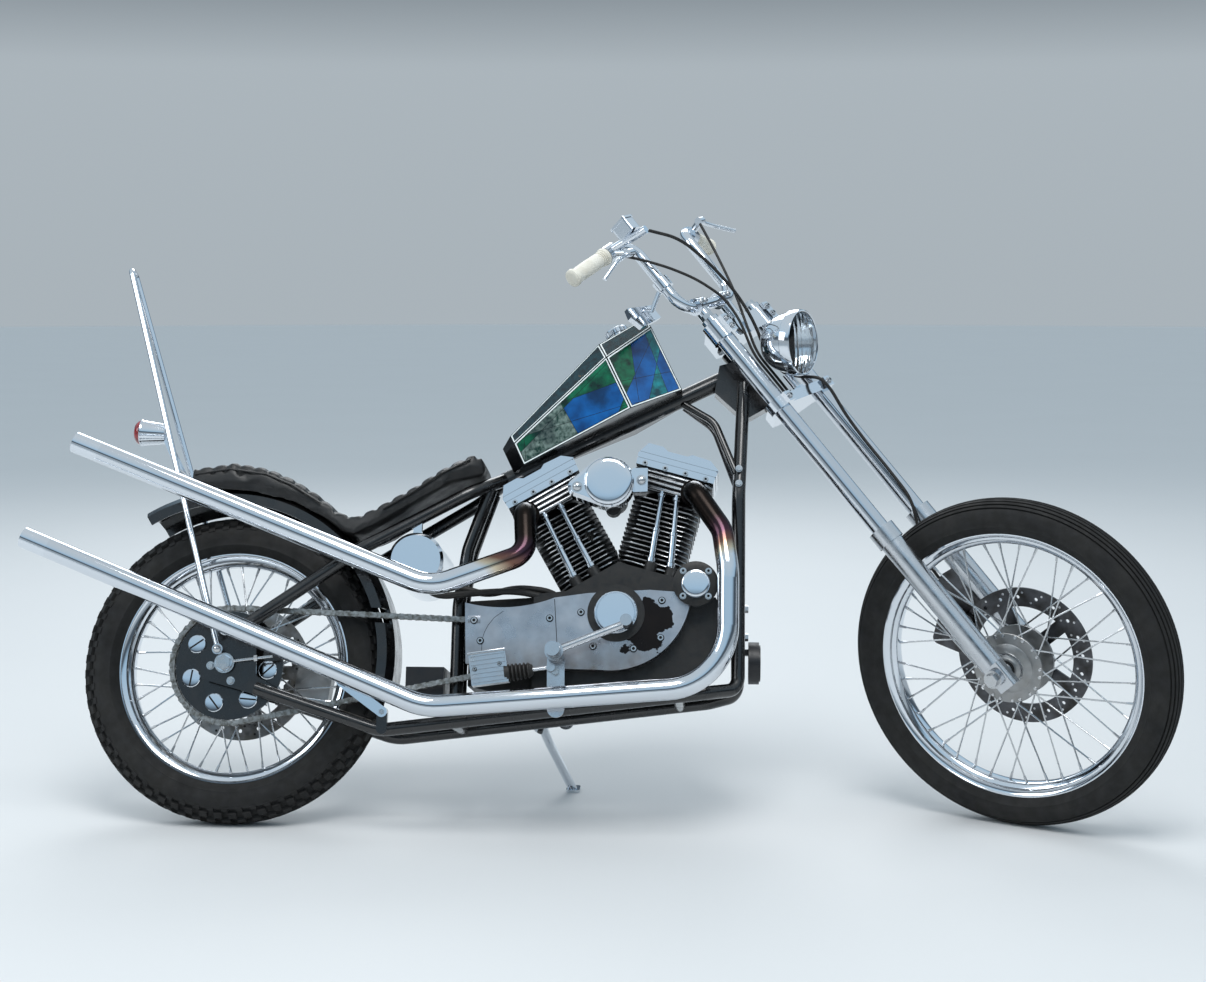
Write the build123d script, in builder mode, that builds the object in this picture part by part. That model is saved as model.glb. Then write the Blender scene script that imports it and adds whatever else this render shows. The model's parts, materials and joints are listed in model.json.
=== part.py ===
"""Chopper motorcycle, parked on its side stand with the steering on its right stop.

The bike is drawn upright, in millimetres: +X forward, +Y to its left, +Z up, with the rear wheel's
centre above the origin. The steered pieces are drawn in a frame of their own, whose +Z runs up the
steering axis and whose +X points ahead of it. Every piece is stood in its parked pose at the end.
"""
import os
from math import asin, cos, radians, sin, tan

from build123d import *

os.makedirs("parts", exist_ok=True)

# Stance
WHEELBASE = 1640
RAKE = 38.45
LEAN = 18
STEER = 38.1

# Clearances
BORE_GAP = 0.1
SEAT_GAP = 0.3
BEAD_GAP = 0.8
SPOKE_GAP = 0.7

# Rear wheel
REAR_TYRE_R = 325
REAR_TYRE_SECTION = 52
REAR_TREAD_ANGLE = 18
REAR_RIM_R = 243.5
REAR_RIM_HALF = 33
REAR_FLANGE_R = 66

# Front wheel
FRONT_TYRE_R = 350
FRONT_TYRE_SECTION = 42
FRONT_TREAD_ANGLE = 7
FRONT_RIM_R = 281.5
FRONT_RIM_HALF = 29
FRONT_FLANGE_R = 74

# Wheel parts that both wheels share
WALL_ANGLE = 70
RIM_DEPTH = 20
RIM_WALL = 4
RIM_WELL_HALF = 12
SPOKES = 40
SPOKE_SIZE = 4
SPOKE_SKEW = 34
SPOKE_RIM_Y = 6
SPOKE_INSET = 5
HUB_R = 30
HUB_HALF = 48
HUB_NOSE_R = 24
HUB_CONE_R = 52
HUB_FLANGE_WIDTH = 6
HUB_FLANGE_Y = 34
DISC_R = 146
DISC_INNER_R = 106
DISC_THICKNESS = 5
DISC_Y = 60
DISC_CENTRE_R = 60
DISC_BOSS_R = 34
DISC_ARMS = 5
DISC_ARM_WIDTH = 30
DISC_HOLES = 20
DISC_HOLE_R = 4

# Axles
REAR_AXLE_R = 12
FRONT_AXLE_R = 10
NUT_R = 17
NUT_WIDTH = 12
SPACER_WALL = 6

# Final drive
SPROCKET_THICKNESS = 7
CHAIN_Y = -67
CHAIN_PITCH_R = 121
CHAIN_LINKS = 49
LINK_HALF_HEIGHT = 7.5
LINK_WAIST_HALF_HEIGHT = 5
CHAIN_WIDTH = 17
CHAIN_ROOM = 8
DRIVE_R = 52
DRIVE_X = 560
DRIVE_Z = 372

# Front fork
FORK_OFFSET = 48.9
LEG_LEAD = 6
FORK_HALF = 92.5
FORK_TUBE_R = 19.5
SLIDER_R = 25
SLIDER_STEP = 24
SLIDER_TOP = 381
SLIDER_COLLAR = 36
SLIDER_COLLAR_R = 29
FOOT_LOW = -33
FOOT_DEPTH = 44
FOOT_WIDTH = 30
LOWER_CLAMP_U = 716
LOWER_CLAMP_HEIGHT = 24
UPPER_CLAMP_U = 920
UPPER_CLAMP_HEIGHT = 43
CLAMP_WALL = 8
CLAMP_WEB = 50
FORK_CAP = 12
STEM_R = 13
HEAD_R = 27
HEAD_GAP = 5

# Handlebar, hand controls and mirror
RISER_HALF = 51
RISER_R = 15
RISER_HEIGHT = 62
BAR_R = 12.7
BAR_AHEAD = 32
BAR_HALF = 112
BAR_TOP_U = 1200
BAR_END_AHEAD = -28
BAR_END_HALF = 290
BAR_END_U = 1176
BAR_BEND = 42
GRIP_R = 17
GRIP_LENGTH = 110
COLLAR_R = 19
COLLAR_LENGTH = 28
LEVER_R = 5
MIRROR_AHEAD = -20
MIRROR_U = 1038

# Headlamp
LAMP_R = 70
LAMP_LENGTH = 90
LAMP_AHEAD = 144
LAMP_RISE = 80
LAMP_STALK_R = 9
LAMP_STALK_AHEAD = 66
LENS_THICKNESS = 12

# Frame tubes
RAIL_R = 14
RAIL_HALF = 108
RAIL_REAR_X = 66
RAIL_REAR_Z = 274
RAIL_MID_X = 330
RAIL_MID_Z = 191
RAIL_FRONT_Z = 288
DOWNTUBE_SETBACK = 539.7
DOWNTUBE_HALF = 62
DOWNTUBE_TOP_HALF = 16
DOWNTUBE_TOP_U = 815.6
BACKBONE_R = 19
BACKBONE_REAR_X = 560
BACKBONE_SLOPE = 26
ENGINE_ROOM = 1.9
STAY_HALF = 100
STAY_REAR_X = 40
STAY_REAR_Z = 408
STAY_KNEE_X = 277
STAY_KNEE_Z = 572
POST_HALF = 32
POST_FOOT_X = 474
POST_FOOT_Z = 212
CROSS_BAR_R = 12
PLATE_Y = 100
PLATE_THICKNESS = 8

# Tank, fender, seat and backrest
TANK_START = 52
CAP_ALONG = 306
CAP_R = 25
FENDER_X = -12
FENDER_Z = 348
FENDER_R = 357
FENDER_HALF = 72
FENDER_WALL = 3
FENDER_SKIRT = 34
FENDER_BEVEL = 14
FENDER_CROWN_HALF = 48
FENDER_TAIL_ANGLE = 122
FENDER_ARC = 134
SEAT_HALF = 112
SISSY_FOOT_X = -14
SISSY_FOOT_Z = 353
SISSY_TOP_X = -283
SISSY_TOP_Z = 1208
SISSY_HALF = 116
SISSY_TOP_HALF = 16
SISSY_R = 6.5
TAIL_BAR_Z = 745
TAIL_BAR_R = 5

# Engine
CRANK_X = 833
CRANK_Z = 388
REAR_CYLINDER_LEAN = -29.9
FRONT_CYLINDER_LEAN = 15.1
CASE_HALF = 95
DECK_HEIGHT = 150
BARREL_R = 52
BARREL_LENGTH = 168
FIN_HALF = 72
FIN_CORNER = 22
FIN_PITCH = 10
FIN_THICKNESS = 3
FIN_START = 8
BARREL_GAP = 1
HEAD_LENGTH = 44
HEAD_FINS = 4
HEAD_FIN_HALF = 84
HEAD_FIN_THICKNESS = 5
ROCKER_HALF = 88
GROOVE = 2
COVER_THICKNESS = 33
PUSHROD_Y = -80
PUSHROD_R = 7
LIFTER_R = 13
LIFTER_HEIGHT = 34
ROUND_CAP_R = 44
ROUND_CAP_RING_R = 59
TIMING_R = 46
PRIMARY_DEPTH = 42
CARB_X = 800
CARB_Z = 694
CARB_R = 26
CLEANER_Y = -112
CLEANER_DEPTH = 48
CLEANER_R = 53

# Exhaust
PIPE_R = 22.5
PIPE_WALL = 2
PIPE_Y = -168
PIPE_BORE = 60
PORT_RISE = 14
FLANGE_R = 28
FLANGE_THICKNESS = 8
HANGER_R = 11
HANGER_THICKNESS = 6

# Equipment
OIL_TANK_X = 389
OIL_TANK_Z = 547
OIL_TANK_R = 58
OIL_TANK_HALF = 104
HOSE_R = 7
PEG_X = 690
PEG_Z = 348
PEG_R = 15
PEG_MOUNT_Z = 237
BRACKET_THICKNESS = 8
MASTER_X = 554.5
MASTER_Z = 317.5
MASTER_TURN = 8.3
MASTER_ROD = 94
HORN_Z = 350
HORN_R = 44
HORN_DEPTH = 22
HORN_LEAD = 22
CALIPER_RADIUS = 158
CALIPER_LENGTH = 86
CALIPER_DEPTH = 76
CALIPER_HALF = 19
CALIPER_GAP = 5
FRONT_CALIPER_ANGLE = 122
REAR_CALIPER_ANGLE = -8

# Side stand
STAND_X = 640
STAND_Y = 148
STAND_Z = 226
STAND_R = 10
STAND_FOOT_X = 700
STAND_FOOT_Y = 310
STAND_KNEE_X = 10
STAND_KNEE_Y = 70
STAND_KNEE_Z = -28
STAND_EYE = 20
STAND_EYE_R = 16
STAND_EAR = 8
STAND_PIN_R = 6


def both_ways(points):
    """Outline that is the same on both sides of the bike: the given half, then its reflection."""
    return points + [(-across, out) for across, out in reversed(points) if across != 0]


def tyre_point(outer_r, section, angle):
    """Point of a tyre's round section, from the middle of the tread at 0 to its widest place at 90."""
    turn = radians(angle)
    return -section * sin(turn), outer_r - section + section * cos(turn)


def flange_flare(outer_r, section, rim_r, rim_half):
    """How far a rim's flange leans out over its height, along the tyre's side wall."""
    across, out = tyre_point(outer_r, section, WALL_ANGLE)
    return (-across - rim_half + RIM_WALL) / (out - rim_r - BEAD_GAP) * RIM_DEPTH / 2


def tyre_outline(outer_r, section, tread_angle, rim_r, rim_half):
    toe = rim_half - RIM_WALL - flange_flare(outer_r, section, rim_r, rim_half)
    half = [(-toe, rim_r - RIM_DEPTH / 2 + BEAD_GAP)]
    for angle in (WALL_ANGLE, tread_angle):
        half.append(tyre_point(outer_r, section, angle))
    return both_ways(half)


def rim_outline(outer_r, section, rim_r, rim_half):
    flare = flange_flare(outer_r, section, rim_r, rim_half)
    shelf = rim_r - RIM_DEPTH / 2
    well = rim_r - RIM_DEPTH
    outside = [
        (-rim_half, rim_r),
        (-rim_half + flare, shelf - RIM_WALL),
        (-RIM_WELL_HALF - RIM_WALL, well - RIM_WALL),
    ]
    inside = [
        (-RIM_WELL_HALF, well),
        (-RIM_WELL_HALF - RIM_WALL, shelf),
        (-rim_half + RIM_WALL + flare, shelf),
        (-rim_half + RIM_WALL, rim_r),
    ]
    back = [(-across, out) for across, out in reversed(inside)]
    return both_ways(outside) + back + inside


def hub_outline(axle_r, flange_r):
    flange_in = HUB_FLANGE_Y - HUB_FLANGE_WIDTH / 2
    flange_out = HUB_FLANGE_Y + HUB_FLANGE_WIDTH / 2
    return both_ways([
        (-HUB_HALF, axle_r + BORE_GAP),
        (-HUB_HALF, HUB_NOSE_R),
        (-flange_out, HUB_CONE_R),
        (-flange_out, flange_r),
        (-flange_in, flange_r),
        (-flange_in, HUB_R),
    ])


def rest_height(outline, tilt):
    """Height of a wheel's centre over the ground when the wheel is tilted."""
    return max(out * cos(tilt) + abs(across) * sin(abs(tilt)) for across, out in outline)


# Parked stance, worked out from the sizes
lean = radians(LEAN)
steer = radians(STEER)
rake = radians(RAKE)
rear_tyre_outline = tyre_outline(
    REAR_TYRE_R, REAR_TYRE_SECTION, REAR_TREAD_ANGLE, REAR_RIM_R, REAR_RIM_HALF
)
front_tyre_outline = tyre_outline(
    FRONT_TYRE_R, FRONT_TYRE_SECTION, FRONT_TREAD_ANGLE, FRONT_RIM_R, FRONT_RIM_HALF
)
contact_lift = rest_height(rear_tyre_outline, lean) - REAR_TYRE_R * cos(lean)
front_tilt = asin(-sin(lean) * cos(steer) + cos(lean) * sin(steer) * sin(rake))
front_axle_height = rest_height(front_tyre_outline, front_tilt)
steering_x = WHEELBASE - FORK_OFFSET * cos(rake)
steering_z = (front_axle_height - contact_lift - sin(lean) * FORK_OFFSET * sin(steer)) / cos(lean)
steering_z -= FORK_OFFSET * cos(steer) * sin(rake)
rail_front_x = steering_x - DOWNTUBE_SETBACK


def neck_point(ahead, up):
    """Place on the upright bike, given ahead of the steering axis and up along it."""
    return (
        steering_x + ahead * cos(rake) - up * sin(rake),
        steering_z + ahead * sin(rake) + up * cos(rake),
    )


def cylinder_point(angle, height, ahead=0):
    """Place on the upright bike, given up along a cylinder from the crankshaft and ahead of it."""
    turn = radians(angle)
    return (
        CRANK_X + height * sin(turn) + ahead * cos(turn),
        CRANK_Z + height * cos(turn) - ahead * sin(turn),
    )


def cylinder_plane(angle, height):
    """Plane across one cylinder, at a height along it from the crankshaft."""
    turn = radians(angle)
    x, z = cylinder_point(angle, height)
    return Plane(origin=(x, 0, z), x_dir=(cos(turn), 0, -sin(turn)), z_dir=(sin(turn), 0, cos(turn)))


def side_plane(y):
    """Side view of the bike at a distance to its left; it is extruded towards the right side."""
    return Plane(origin=(0, y, 0), x_dir=(1, 0, 0), z_dir=(0, -1, 0))


def turned_plane(x, z, angle=90):
    """Half section of something round a cross shaft: across the bike, then outwards.

    The angle is where the section lies, from straight ahead at 0 to straight up at 90.
    """
    turn = radians(angle)
    return Plane(origin=(x, 0, z), x_dir=(0, 1, 0), z_dir=(sin(turn), 0, -cos(turn)))


def cross_axis(x, z):
    return Axis((x, 0, z), (0, 1, 0))


def easy_bends(points):
    """Radii of a cable's bends, each as large as the two runs beside it allow."""
    radii = []
    for before, at, after in zip(points, points[1:], points[2:]):
        run_in = Vector(*at) - Vector(*before)
        run_out = Vector(*after) - Vector(*at)
        half_turn = radians(run_in.get_angle(run_out)) / 2
        radii.append(round(0.45 * min(run_in.length, run_out.length) / tan(half_turn), 1))
    return radii


def add_tube(points, radius, bends=None):
    """Adds a round bar that follows straight runs joined by arcs."""
    with BuildLine() as path:
        if bends:
            FilletPolyline(*points, radius=bends)
        else:
            Line(*points)
    with BuildSketch(Plane(origin=path.line @ 0, z_dir=path.line % 0)) as ring:
        Circle(radius)
    sweep(ring.sketch, path=path.line)


def add_cross_bar(x, z, y0, y1, radius, bore=0, mode=Mode.ADD):
    """Adds a round bar or a collar that runs across the bike between two distances to its left."""
    with BuildSketch(side_plane(max(y0, y1))) as ring:
        with Locations((x, z)):
            Circle(radius)
            if bore:
                Circle(bore, mode=Mode.SUBTRACT)
    extrude(ring.sketch, amount=abs(y1 - y0), mode=mode)


def add_slab(outline, y0, y1):
    """Adds a flat piece seen from the side, between two distances to the bike's left."""
    with BuildSketch(side_plane(max(y0, y1))) as face:
        with BuildLine():
            Polyline(*outline, close=True)
        make_face()
    extrude(face.sketch, amount=abs(y1 - y0))


def add_link(ends, radius, y0, y1):
    """Adds a flat bar with rounded ends, seen from the side."""
    with BuildSketch(side_plane(max(y0, y1))) as face:
        with Locations(*ends):
            Circle(radius)
        make_hull()
    extrude(face.sketch, amount=abs(y1 - y0))


def add_turned(x, z, outline):
    """Adds a ring or disc turned about a cross shaft."""
    with BuildSketch(turned_plane(x, z)) as section:
        with BuildLine():
            Polyline(*outline, close=True)
        make_face()
    revolve(section.sketch, axis=cross_axis(x, z))


def add_spokes(x, z, rim_r, flange_r):
    """Adds crossed spokes from the hub flanges to the rim's well."""
    well = rim_r - RIM_DEPTH - RIM_WALL - SPOKE_GAP
    step = 360 / SPOKES
    for number in range(SPOKES):
        side = 1 if number % 2 else -1
        skew = SPOKE_SKEW if number % 4 < 2 else -SPOKE_SKEW
        rim_angle = radians(number * step)
        hub_angle = radians(number * step + skew)
        hub = Vector(
            x + (flange_r - SPOKE_INSET) * cos(hub_angle),
            side * HUB_FLANGE_Y,
            z + (flange_r - SPOKE_INSET) * sin(hub_angle),
        )
        rim = Vector(x + well * cos(rim_angle), side * SPOKE_RIM_Y, z + well * sin(rim_angle))
        with BuildSketch(Plane(origin=hub, z_dir=rim - hub)) as section:
            Rectangle(SPOKE_SIZE, SPOKE_SIZE)
        extrude(section.sketch, amount=(rim - hub).length)


def add_disc(x, z, axle_r):
    """Adds a drilled brake disc with its arms, its centre and the boss that seats on the hub."""
    with BuildSketch(side_plane(DISC_Y + DISC_THICKNESS / 2)) as face:
        with Locations((x, z)):
            Circle(DISC_R)
            Circle(DISC_INNER_R, mode=Mode.SUBTRACT)
            Circle(DISC_CENTRE_R)
            with PolarLocations((DISC_INNER_R + DISC_CENTRE_R) / 2, DISC_ARMS):
                Rectangle(DISC_INNER_R - DISC_CENTRE_R + 10, DISC_ARM_WIDTH)
            with PolarLocations((DISC_R + DISC_INNER_R) / 2, DISC_HOLES):
                Circle(DISC_HOLE_R, mode=Mode.SUBTRACT)
            Circle(axle_r + BORE_GAP, mode=Mode.SUBTRACT)
    extrude(face.sketch, amount=DISC_THICKNESS)
    add_cross_bar(x, z, HUB_HALF, DISC_Y, DISC_BOSS_R, axle_r + BORE_GAP)


def chain_outline(half_heights):
    """Outline along the chain's line, at half heights that are taken in turn."""
    with BuildSketch() as loop:
        with Locations(REAR_HUB):
            Circle(CHAIN_PITCH_R)
        with Locations((DRIVE_X, DRIVE_Z)):
            Circle(DRIVE_R)
        make_hull()
    wire = loop.sketch.faces()[0].outer_wire()
    points = []
    for number in range(2 * CHAIN_LINKS):
        at = number / (2 * CHAIN_LINKS)
        point, along = wire @ at, wire % at
        half_height = half_heights[number % 2]
        points.append((point.X + along.Y * half_height, point.Y - along.X * half_height))
    return points


def cut_chain_room():
    """Cuts the room that the chain runs in."""
    room = LINK_HALF_HEIGHT + CHAIN_ROOM
    with BuildSketch(side_plane(CHAIN_Y + CHAIN_WIDTH / 2 + CHAIN_ROOM)) as face:
        with Locations(REAR_HUB):
            Circle(CHAIN_PITCH_R + room)
        with Locations((DRIVE_X, DRIVE_Z)):
            Circle(DRIVE_R + room)
        make_hull()
        offset(amount=-2 * room, mode=Mode.SUBTRACT)
    extrude(face.sketch, amount=CHAIN_WIDTH + 2 * CHAIN_ROOM, mode=Mode.SUBTRACT)


def add_caliper(hub, angle):
    """Adds a brake caliper that straddles the disc's edge, with its piston's round cover."""
    turn = radians(angle)
    x = hub[0] + CALIPER_RADIUS * cos(turn)
    z = hub[1] + CALIPER_RADIUS * sin(turn)
    with BuildSketch(side_plane(DISC_Y + CALIPER_HALF)) as body:
        with Locations(Location((x, z), angle)):
            RectangleRounded(CALIPER_DEPTH, CALIPER_LENGTH, 14)
    extrude(body.sketch, amount=2 * CALIPER_HALF)
    add_cross_bar(x, z, DISC_Y + CALIPER_HALF, DISC_Y + CALIPER_HALF + 6, 26)
    slot = DISC_THICKNESS / 2 + CALIPER_GAP
    add_cross_bar(*hub, DISC_Y - slot, DISC_Y + slot, DISC_R + CALIPER_GAP, mode=Mode.SUBTRACT)


def add_axle(hub, radius, face, spacers):
    """Adds an axle with a nut on each side's outer face, and its spacers."""
    add_cross_bar(*hub, -face - NUT_WIDTH, face + NUT_WIDTH, radius)
    for side in (-1, 1):
        add_cross_bar(*hub, side * face, side * (face + NUT_WIDTH), NUT_R)
    for y0, y1 in spacers:
        add_cross_bar(*hub, y0, y1, radius + SPACER_WALL)


# Rear wheel
REAR_HUB = (0, REAR_TYRE_R)
disc_face = DISC_Y + DISC_THICKNESS / 2
sprocket_face = CHAIN_Y - SPROCKET_THICKNESS / 2
sprocket_r = CHAIN_PITCH_R - LINK_HALF_HEIGHT - SEAT_GAP

with BuildPart() as rear_tyre:
    add_turned(*REAR_HUB, rear_tyre_outline)

with BuildPart() as rear_rim:
    add_turned(*REAR_HUB, rim_outline(REAR_TYRE_R, REAR_TYRE_SECTION, REAR_RIM_R, REAR_RIM_HALF))

with BuildPart() as rear_hub_spokes:
    add_turned(*REAR_HUB, hub_outline(REAR_AXLE_R, REAR_FLANGE_R))
    add_spokes(*REAR_HUB, REAR_RIM_R, REAR_FLANGE_R)

with BuildPart() as rear_brake_disc:
    add_disc(*REAR_HUB, REAR_AXLE_R)

with BuildPart() as rear_sprocket:
    sprocket_back = sprocket_face + SPROCKET_THICKNESS
    add_cross_bar(*REAR_HUB, sprocket_face, sprocket_back, sprocket_r, REAR_AXLE_R + BORE_GAP)
    add_cross_bar(*REAR_HUB, sprocket_back, -HUB_HALF, DISC_BOSS_R, REAR_AXLE_R + BORE_GAP)

# Front wheel, in the steered frame
FRONT_HUB = (FORK_OFFSET, 0)

with BuildPart() as front_tyre:
    add_turned(*FRONT_HUB, front_tyre_outline)

with BuildPart() as front_rim:
    add_turned(
        *FRONT_HUB, rim_outline(FRONT_TYRE_R, FRONT_TYRE_SECTION, FRONT_RIM_R, FRONT_RIM_HALF)
    )

with BuildPart() as front_hub_spokes:
    add_turned(*FRONT_HUB, hub_outline(FRONT_AXLE_R, FRONT_FLANGE_R))
    add_spokes(*FRONT_HUB, FRONT_RIM_R, FRONT_FLANGE_R)

with BuildPart() as front_brake_disc:
    add_disc(*FRONT_HUB, FRONT_AXLE_R)

# Front fork, in the steered frame
leg_n = FORK_OFFSET + LEG_LEAD
foot_face = FORK_HALF + FOOT_WIDTH / 2
lower_clamp_top = LOWER_CLAMP_U + LOWER_CLAMP_HEIGHT / 2
upper_clamp_low = UPPER_CLAMP_U - UPPER_CLAMP_HEIGHT / 2
riser_base = UPPER_CLAMP_U + UPPER_CLAMP_HEIGHT / 2
bar_u = riser_base + RISER_HEIGHT


def add_leg(bottom, top, radius, y):
    with BuildSketch(Plane.XY.offset(bottom)) as ring:
        with Locations((leg_n, y)):
            Circle(radius)
    extrude(ring.sketch, amount=top - bottom)


def add_clamp(centre_u, height, front):
    """Adds a clamp that grips both fork tubes, with its web's front at a distance from the axis."""
    with BuildSketch(Plane.XY.offset(centre_u - height / 2)) as face:
        with BuildLine():
            Polyline(
                (leg_n - CLAMP_WEB / 2, -FORK_HALF),
                (-HEAD_R, -HEAD_R),
                (-HEAD_R, HEAD_R),
                (leg_n - CLAMP_WEB / 2, FORK_HALF),
                (leg_n + CLAMP_WEB / 2, FORK_HALF),
                (front, RISER_HALF / 2),
                (front, -RISER_HALF / 2),
                (leg_n + CLAMP_WEB / 2, -FORK_HALF),
                close=True,
            )
        make_face()
        with Locations((leg_n, FORK_HALF), (leg_n, -FORK_HALF)):
            Circle(FORK_TUBE_R + CLAMP_WALL)
            Circle(FORK_TUBE_R, mode=Mode.SUBTRACT)
    extrude(face.sketch, amount=height)
    for side in (-1, 1):
        with BuildSketch(side_plane(side * FORK_HALF + CLAMP_WEB / 4)) as lug:
            with Locations((leg_n + CLAMP_WEB / 2 + 2, centre_u)):
                Rectangle(14, height)
        extrude(lug.sketch, amount=CLAMP_WEB / 2)
    with BuildSketch(Plane.XY.offset(centre_u - height / 2)) as bores:
        with Locations((leg_n, FORK_HALF), (leg_n, -FORK_HALF)):
            Circle(FORK_TUBE_R)
    extrude(bores.sketch, amount=height, mode=Mode.SUBTRACT)


with BuildPart() as fork_tubes:
    for leg_y in (-FORK_HALF, FORK_HALF):
        add_leg(SLIDER_TOP, riser_base + FORK_CAP, FORK_TUBE_R, leg_y)

with BuildPart() as fork_sliders:
    for leg_y in (-FORK_HALF, FORK_HALF):
        add_leg(SLIDER_STEP, SLIDER_TOP - SLIDER_COLLAR, SLIDER_R, leg_y)
        add_leg(SLIDER_TOP - SLIDER_COLLAR, SLIDER_TOP, SLIDER_COLLAR_R, leg_y)
        with BuildSketch(Plane.XY.offset(FOOT_LOW)) as foot:
            with Locations((leg_n, leg_y)):
                RectangleRounded(FOOT_DEPTH, FOOT_WIDTH, 8)
        extrude(foot.sketch, amount=SLIDER_STEP - FOOT_LOW + 2)
    add_cross_bar(*FRONT_HUB, -foot_face, foot_face, FRONT_AXLE_R, mode=Mode.SUBTRACT)

with BuildPart() as lower_clamp:
    add_clamp(LOWER_CLAMP_U, LOWER_CLAMP_HEIGHT, leg_n + CLAMP_WEB / 2)
    with BuildSketch(Plane.XY.offset(LOWER_CLAMP_U)) as stem:
        Circle(STEM_R)
    extrude(stem.sketch, amount=upper_clamp_low - LOWER_CLAMP_U)

with BuildPart() as front_axle:
    inner_face = foot_face - FOOT_WIDTH
    spacers = [(disc_face + SEAT_GAP, inner_face), (-inner_face, -HUB_HALF - SEAT_GAP)]
    add_axle(FRONT_HUB, FRONT_AXLE_R, foot_face, spacers)

FRONT_BRACKET = [(-10, 120), (-14, 232), (12, 240), (45, 235), (45, 150), (8, 118)]

with BuildPart() as front_caliper:
    add_slab(FRONT_BRACKET, DISC_Y + 12, DISC_Y + 24)
    add_caliper(FRONT_HUB, FRONT_CALIPER_ANGLE)
    with BuildSketch(Plane.XY.offset(SLIDER_STEP)) as leg:
        with Locations((leg_n, FORK_HALF)):
            Circle(SLIDER_R)
    extrude(leg.sketch, amount=SLIDER_TOP - SLIDER_STEP, mode=Mode.SUBTRACT)

with BuildPart() as upper_clamp:
    add_clamp(UPPER_CLAMP_U, UPPER_CLAMP_HEIGHT, leg_n)
    for riser_y in (-RISER_HALF, RISER_HALF):
        with BuildSketch(Plane.XY.offset(riser_base)) as post:
            with Locations((BAR_AHEAD, riser_y)):
                Circle(RISER_R)
        extrude(post.sketch, amount=RISER_HEIGHT)
        add_cross_bar(BAR_AHEAD, bar_u, riser_y - RISER_R, riser_y + RISER_R, BAR_R + 6)
    add_cross_bar(
        BAR_AHEAD, bar_u, -RISER_HALF - RISER_R, RISER_HALF + RISER_R, BAR_R, mode=Mode.SUBTRACT
    )

# The bar rises from the clamps on both sides and turns out to the grips.
bar_route = [
    (BAR_END_AHEAD, -BAR_END_HALF, BAR_END_U),
    (BAR_AHEAD, -BAR_HALF, BAR_TOP_U),
    (BAR_AHEAD, -BAR_HALF, bar_u),
    (BAR_AHEAD, BAR_HALF, bar_u),
    (BAR_AHEAD, BAR_HALF, BAR_TOP_U),
    (BAR_END_AHEAD, BAR_END_HALF, BAR_END_U),
]

with BuildPart() as handlebar:
    add_tube(bar_route, BAR_R, [BAR_BEND, BAR_BEND, BAR_BEND, BAR_BEND])


def bar_plane(side, along):
    """Plane across the bar's end run, at a distance from that end."""
    end = Vector(BAR_END_AHEAD, side * BAR_END_HALF, BAR_END_U)
    run = (Vector(BAR_AHEAD, side * BAR_HALF, BAR_TOP_U) - end).normalized()
    return Plane(origin=end + run * along, x_dir=(0, 0, 1), z_dir=run)


with BuildPart() as grips:
    for side in (-1, 1):
        with BuildSketch(bar_plane(side, 0)) as sleeve:
            Circle(GRIP_R)
            Circle(BAR_R + SEAT_GAP, mode=Mode.SUBTRACT)
        extrude(sleeve.sketch, amount=GRIP_LENGTH)

# side, lever root ahead of the bar and up from it, lever tip ahead and up
HAND_LEVERS = (
    (-1, 38, -32, 24, -46),
    (1, 44, 6, 84, -36),
)
collar_start = GRIP_LENGTH + 2

with BuildPart() as hand_controls:
    for side, root_ahead, root_up, tip_ahead, tip_up in HAND_LEVERS:
        with BuildSketch(bar_plane(side, collar_start)) as collar:
            Circle(COLLAR_R)
            Circle(BAR_R, mode=Mode.SUBTRACT)
        extrude(collar.sketch, amount=COLLAR_LENGTH)
        perch = bar_plane(side, collar_start + COLLAR_LENGTH / 2).origin
        middle = bar_plane(side, collar_start - 30).origin
        tip = bar_plane(side, 40).origin
        root = perch + Vector(root_ahead, 0, root_up)
        start = perch + Vector(root_ahead, 0, root_up).normalized() * (BAR_R + 3)
        add_tube([start, root], 8)
        add_tube(
            [
                root + Vector(0, -side * 4, 0),
                middle + Vector(root_ahead + 2, 0, root_up),
                tip + Vector(tip_ahead, 0, tip_up),
            ],
            LEVER_R,
            [60],
        )
        add_cross_bar(root.X, root.Z, root.Y - 9, root.Y + 9, 9)
    master = bar_plane(-1, collar_start + COLLAR_LENGTH / 2).origin
    add_tube([master + Vector(BAR_R + 2, 0, 0), master + Vector(100, 8, -22)], 9)
    with BuildSketch(Plane.XY.offset(master.Z - 6)) as reservoir:
        with Locations((master.X + 68, master.Y)):
            RectangleRounded(44, 34, 6)
    extrude(reservoir.sketch, amount=28)
    with BuildSketch(Plane.XY.offset(master.Z + 22)) as lid:
        with Locations((master.X + 68, master.Y)):
            RectangleRounded(48, 38, 7)
    extrude(lid.sketch, amount=5)
    add(handlebar.part, mode=Mode.SUBTRACT)

with BuildPart() as mirror:
    with BuildSketch(Plane(origin=(MIRROR_AHEAD, 0, MIRROR_U), x_dir=(0, 1, 0), z_dir=(1, 0, 0))) as face:
        with BuildLine():
            Polyline((-132, -14), (-132, 20), (-222, 27), (-234, 4), (-222, -25), close=True)
        make_face()
    extrude(face.sketch, amount=10)
    add_tube([(MIRROR_AHEAD + 5, -146, MIRROR_U + 4), (BAR_AHEAD, -BAR_HALF, MIRROR_U + 40)], LEVER_R)
    with BuildSketch(Plane.XY.offset(MIRROR_U + 26)) as clamp:
        with Locations((BAR_AHEAD, -BAR_HALF)):
            Circle(BAR_R + 6)
    extrude(clamp.sketch, amount=24)
    with BuildSketch(Plane.XY.offset(MIRROR_U + 20)) as bore:
        with Locations((BAR_AHEAD, -BAR_HALF)):
            Circle(BAR_R)
    extrude(bore.sketch, amount=40, mode=Mode.SUBTRACT)

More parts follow.
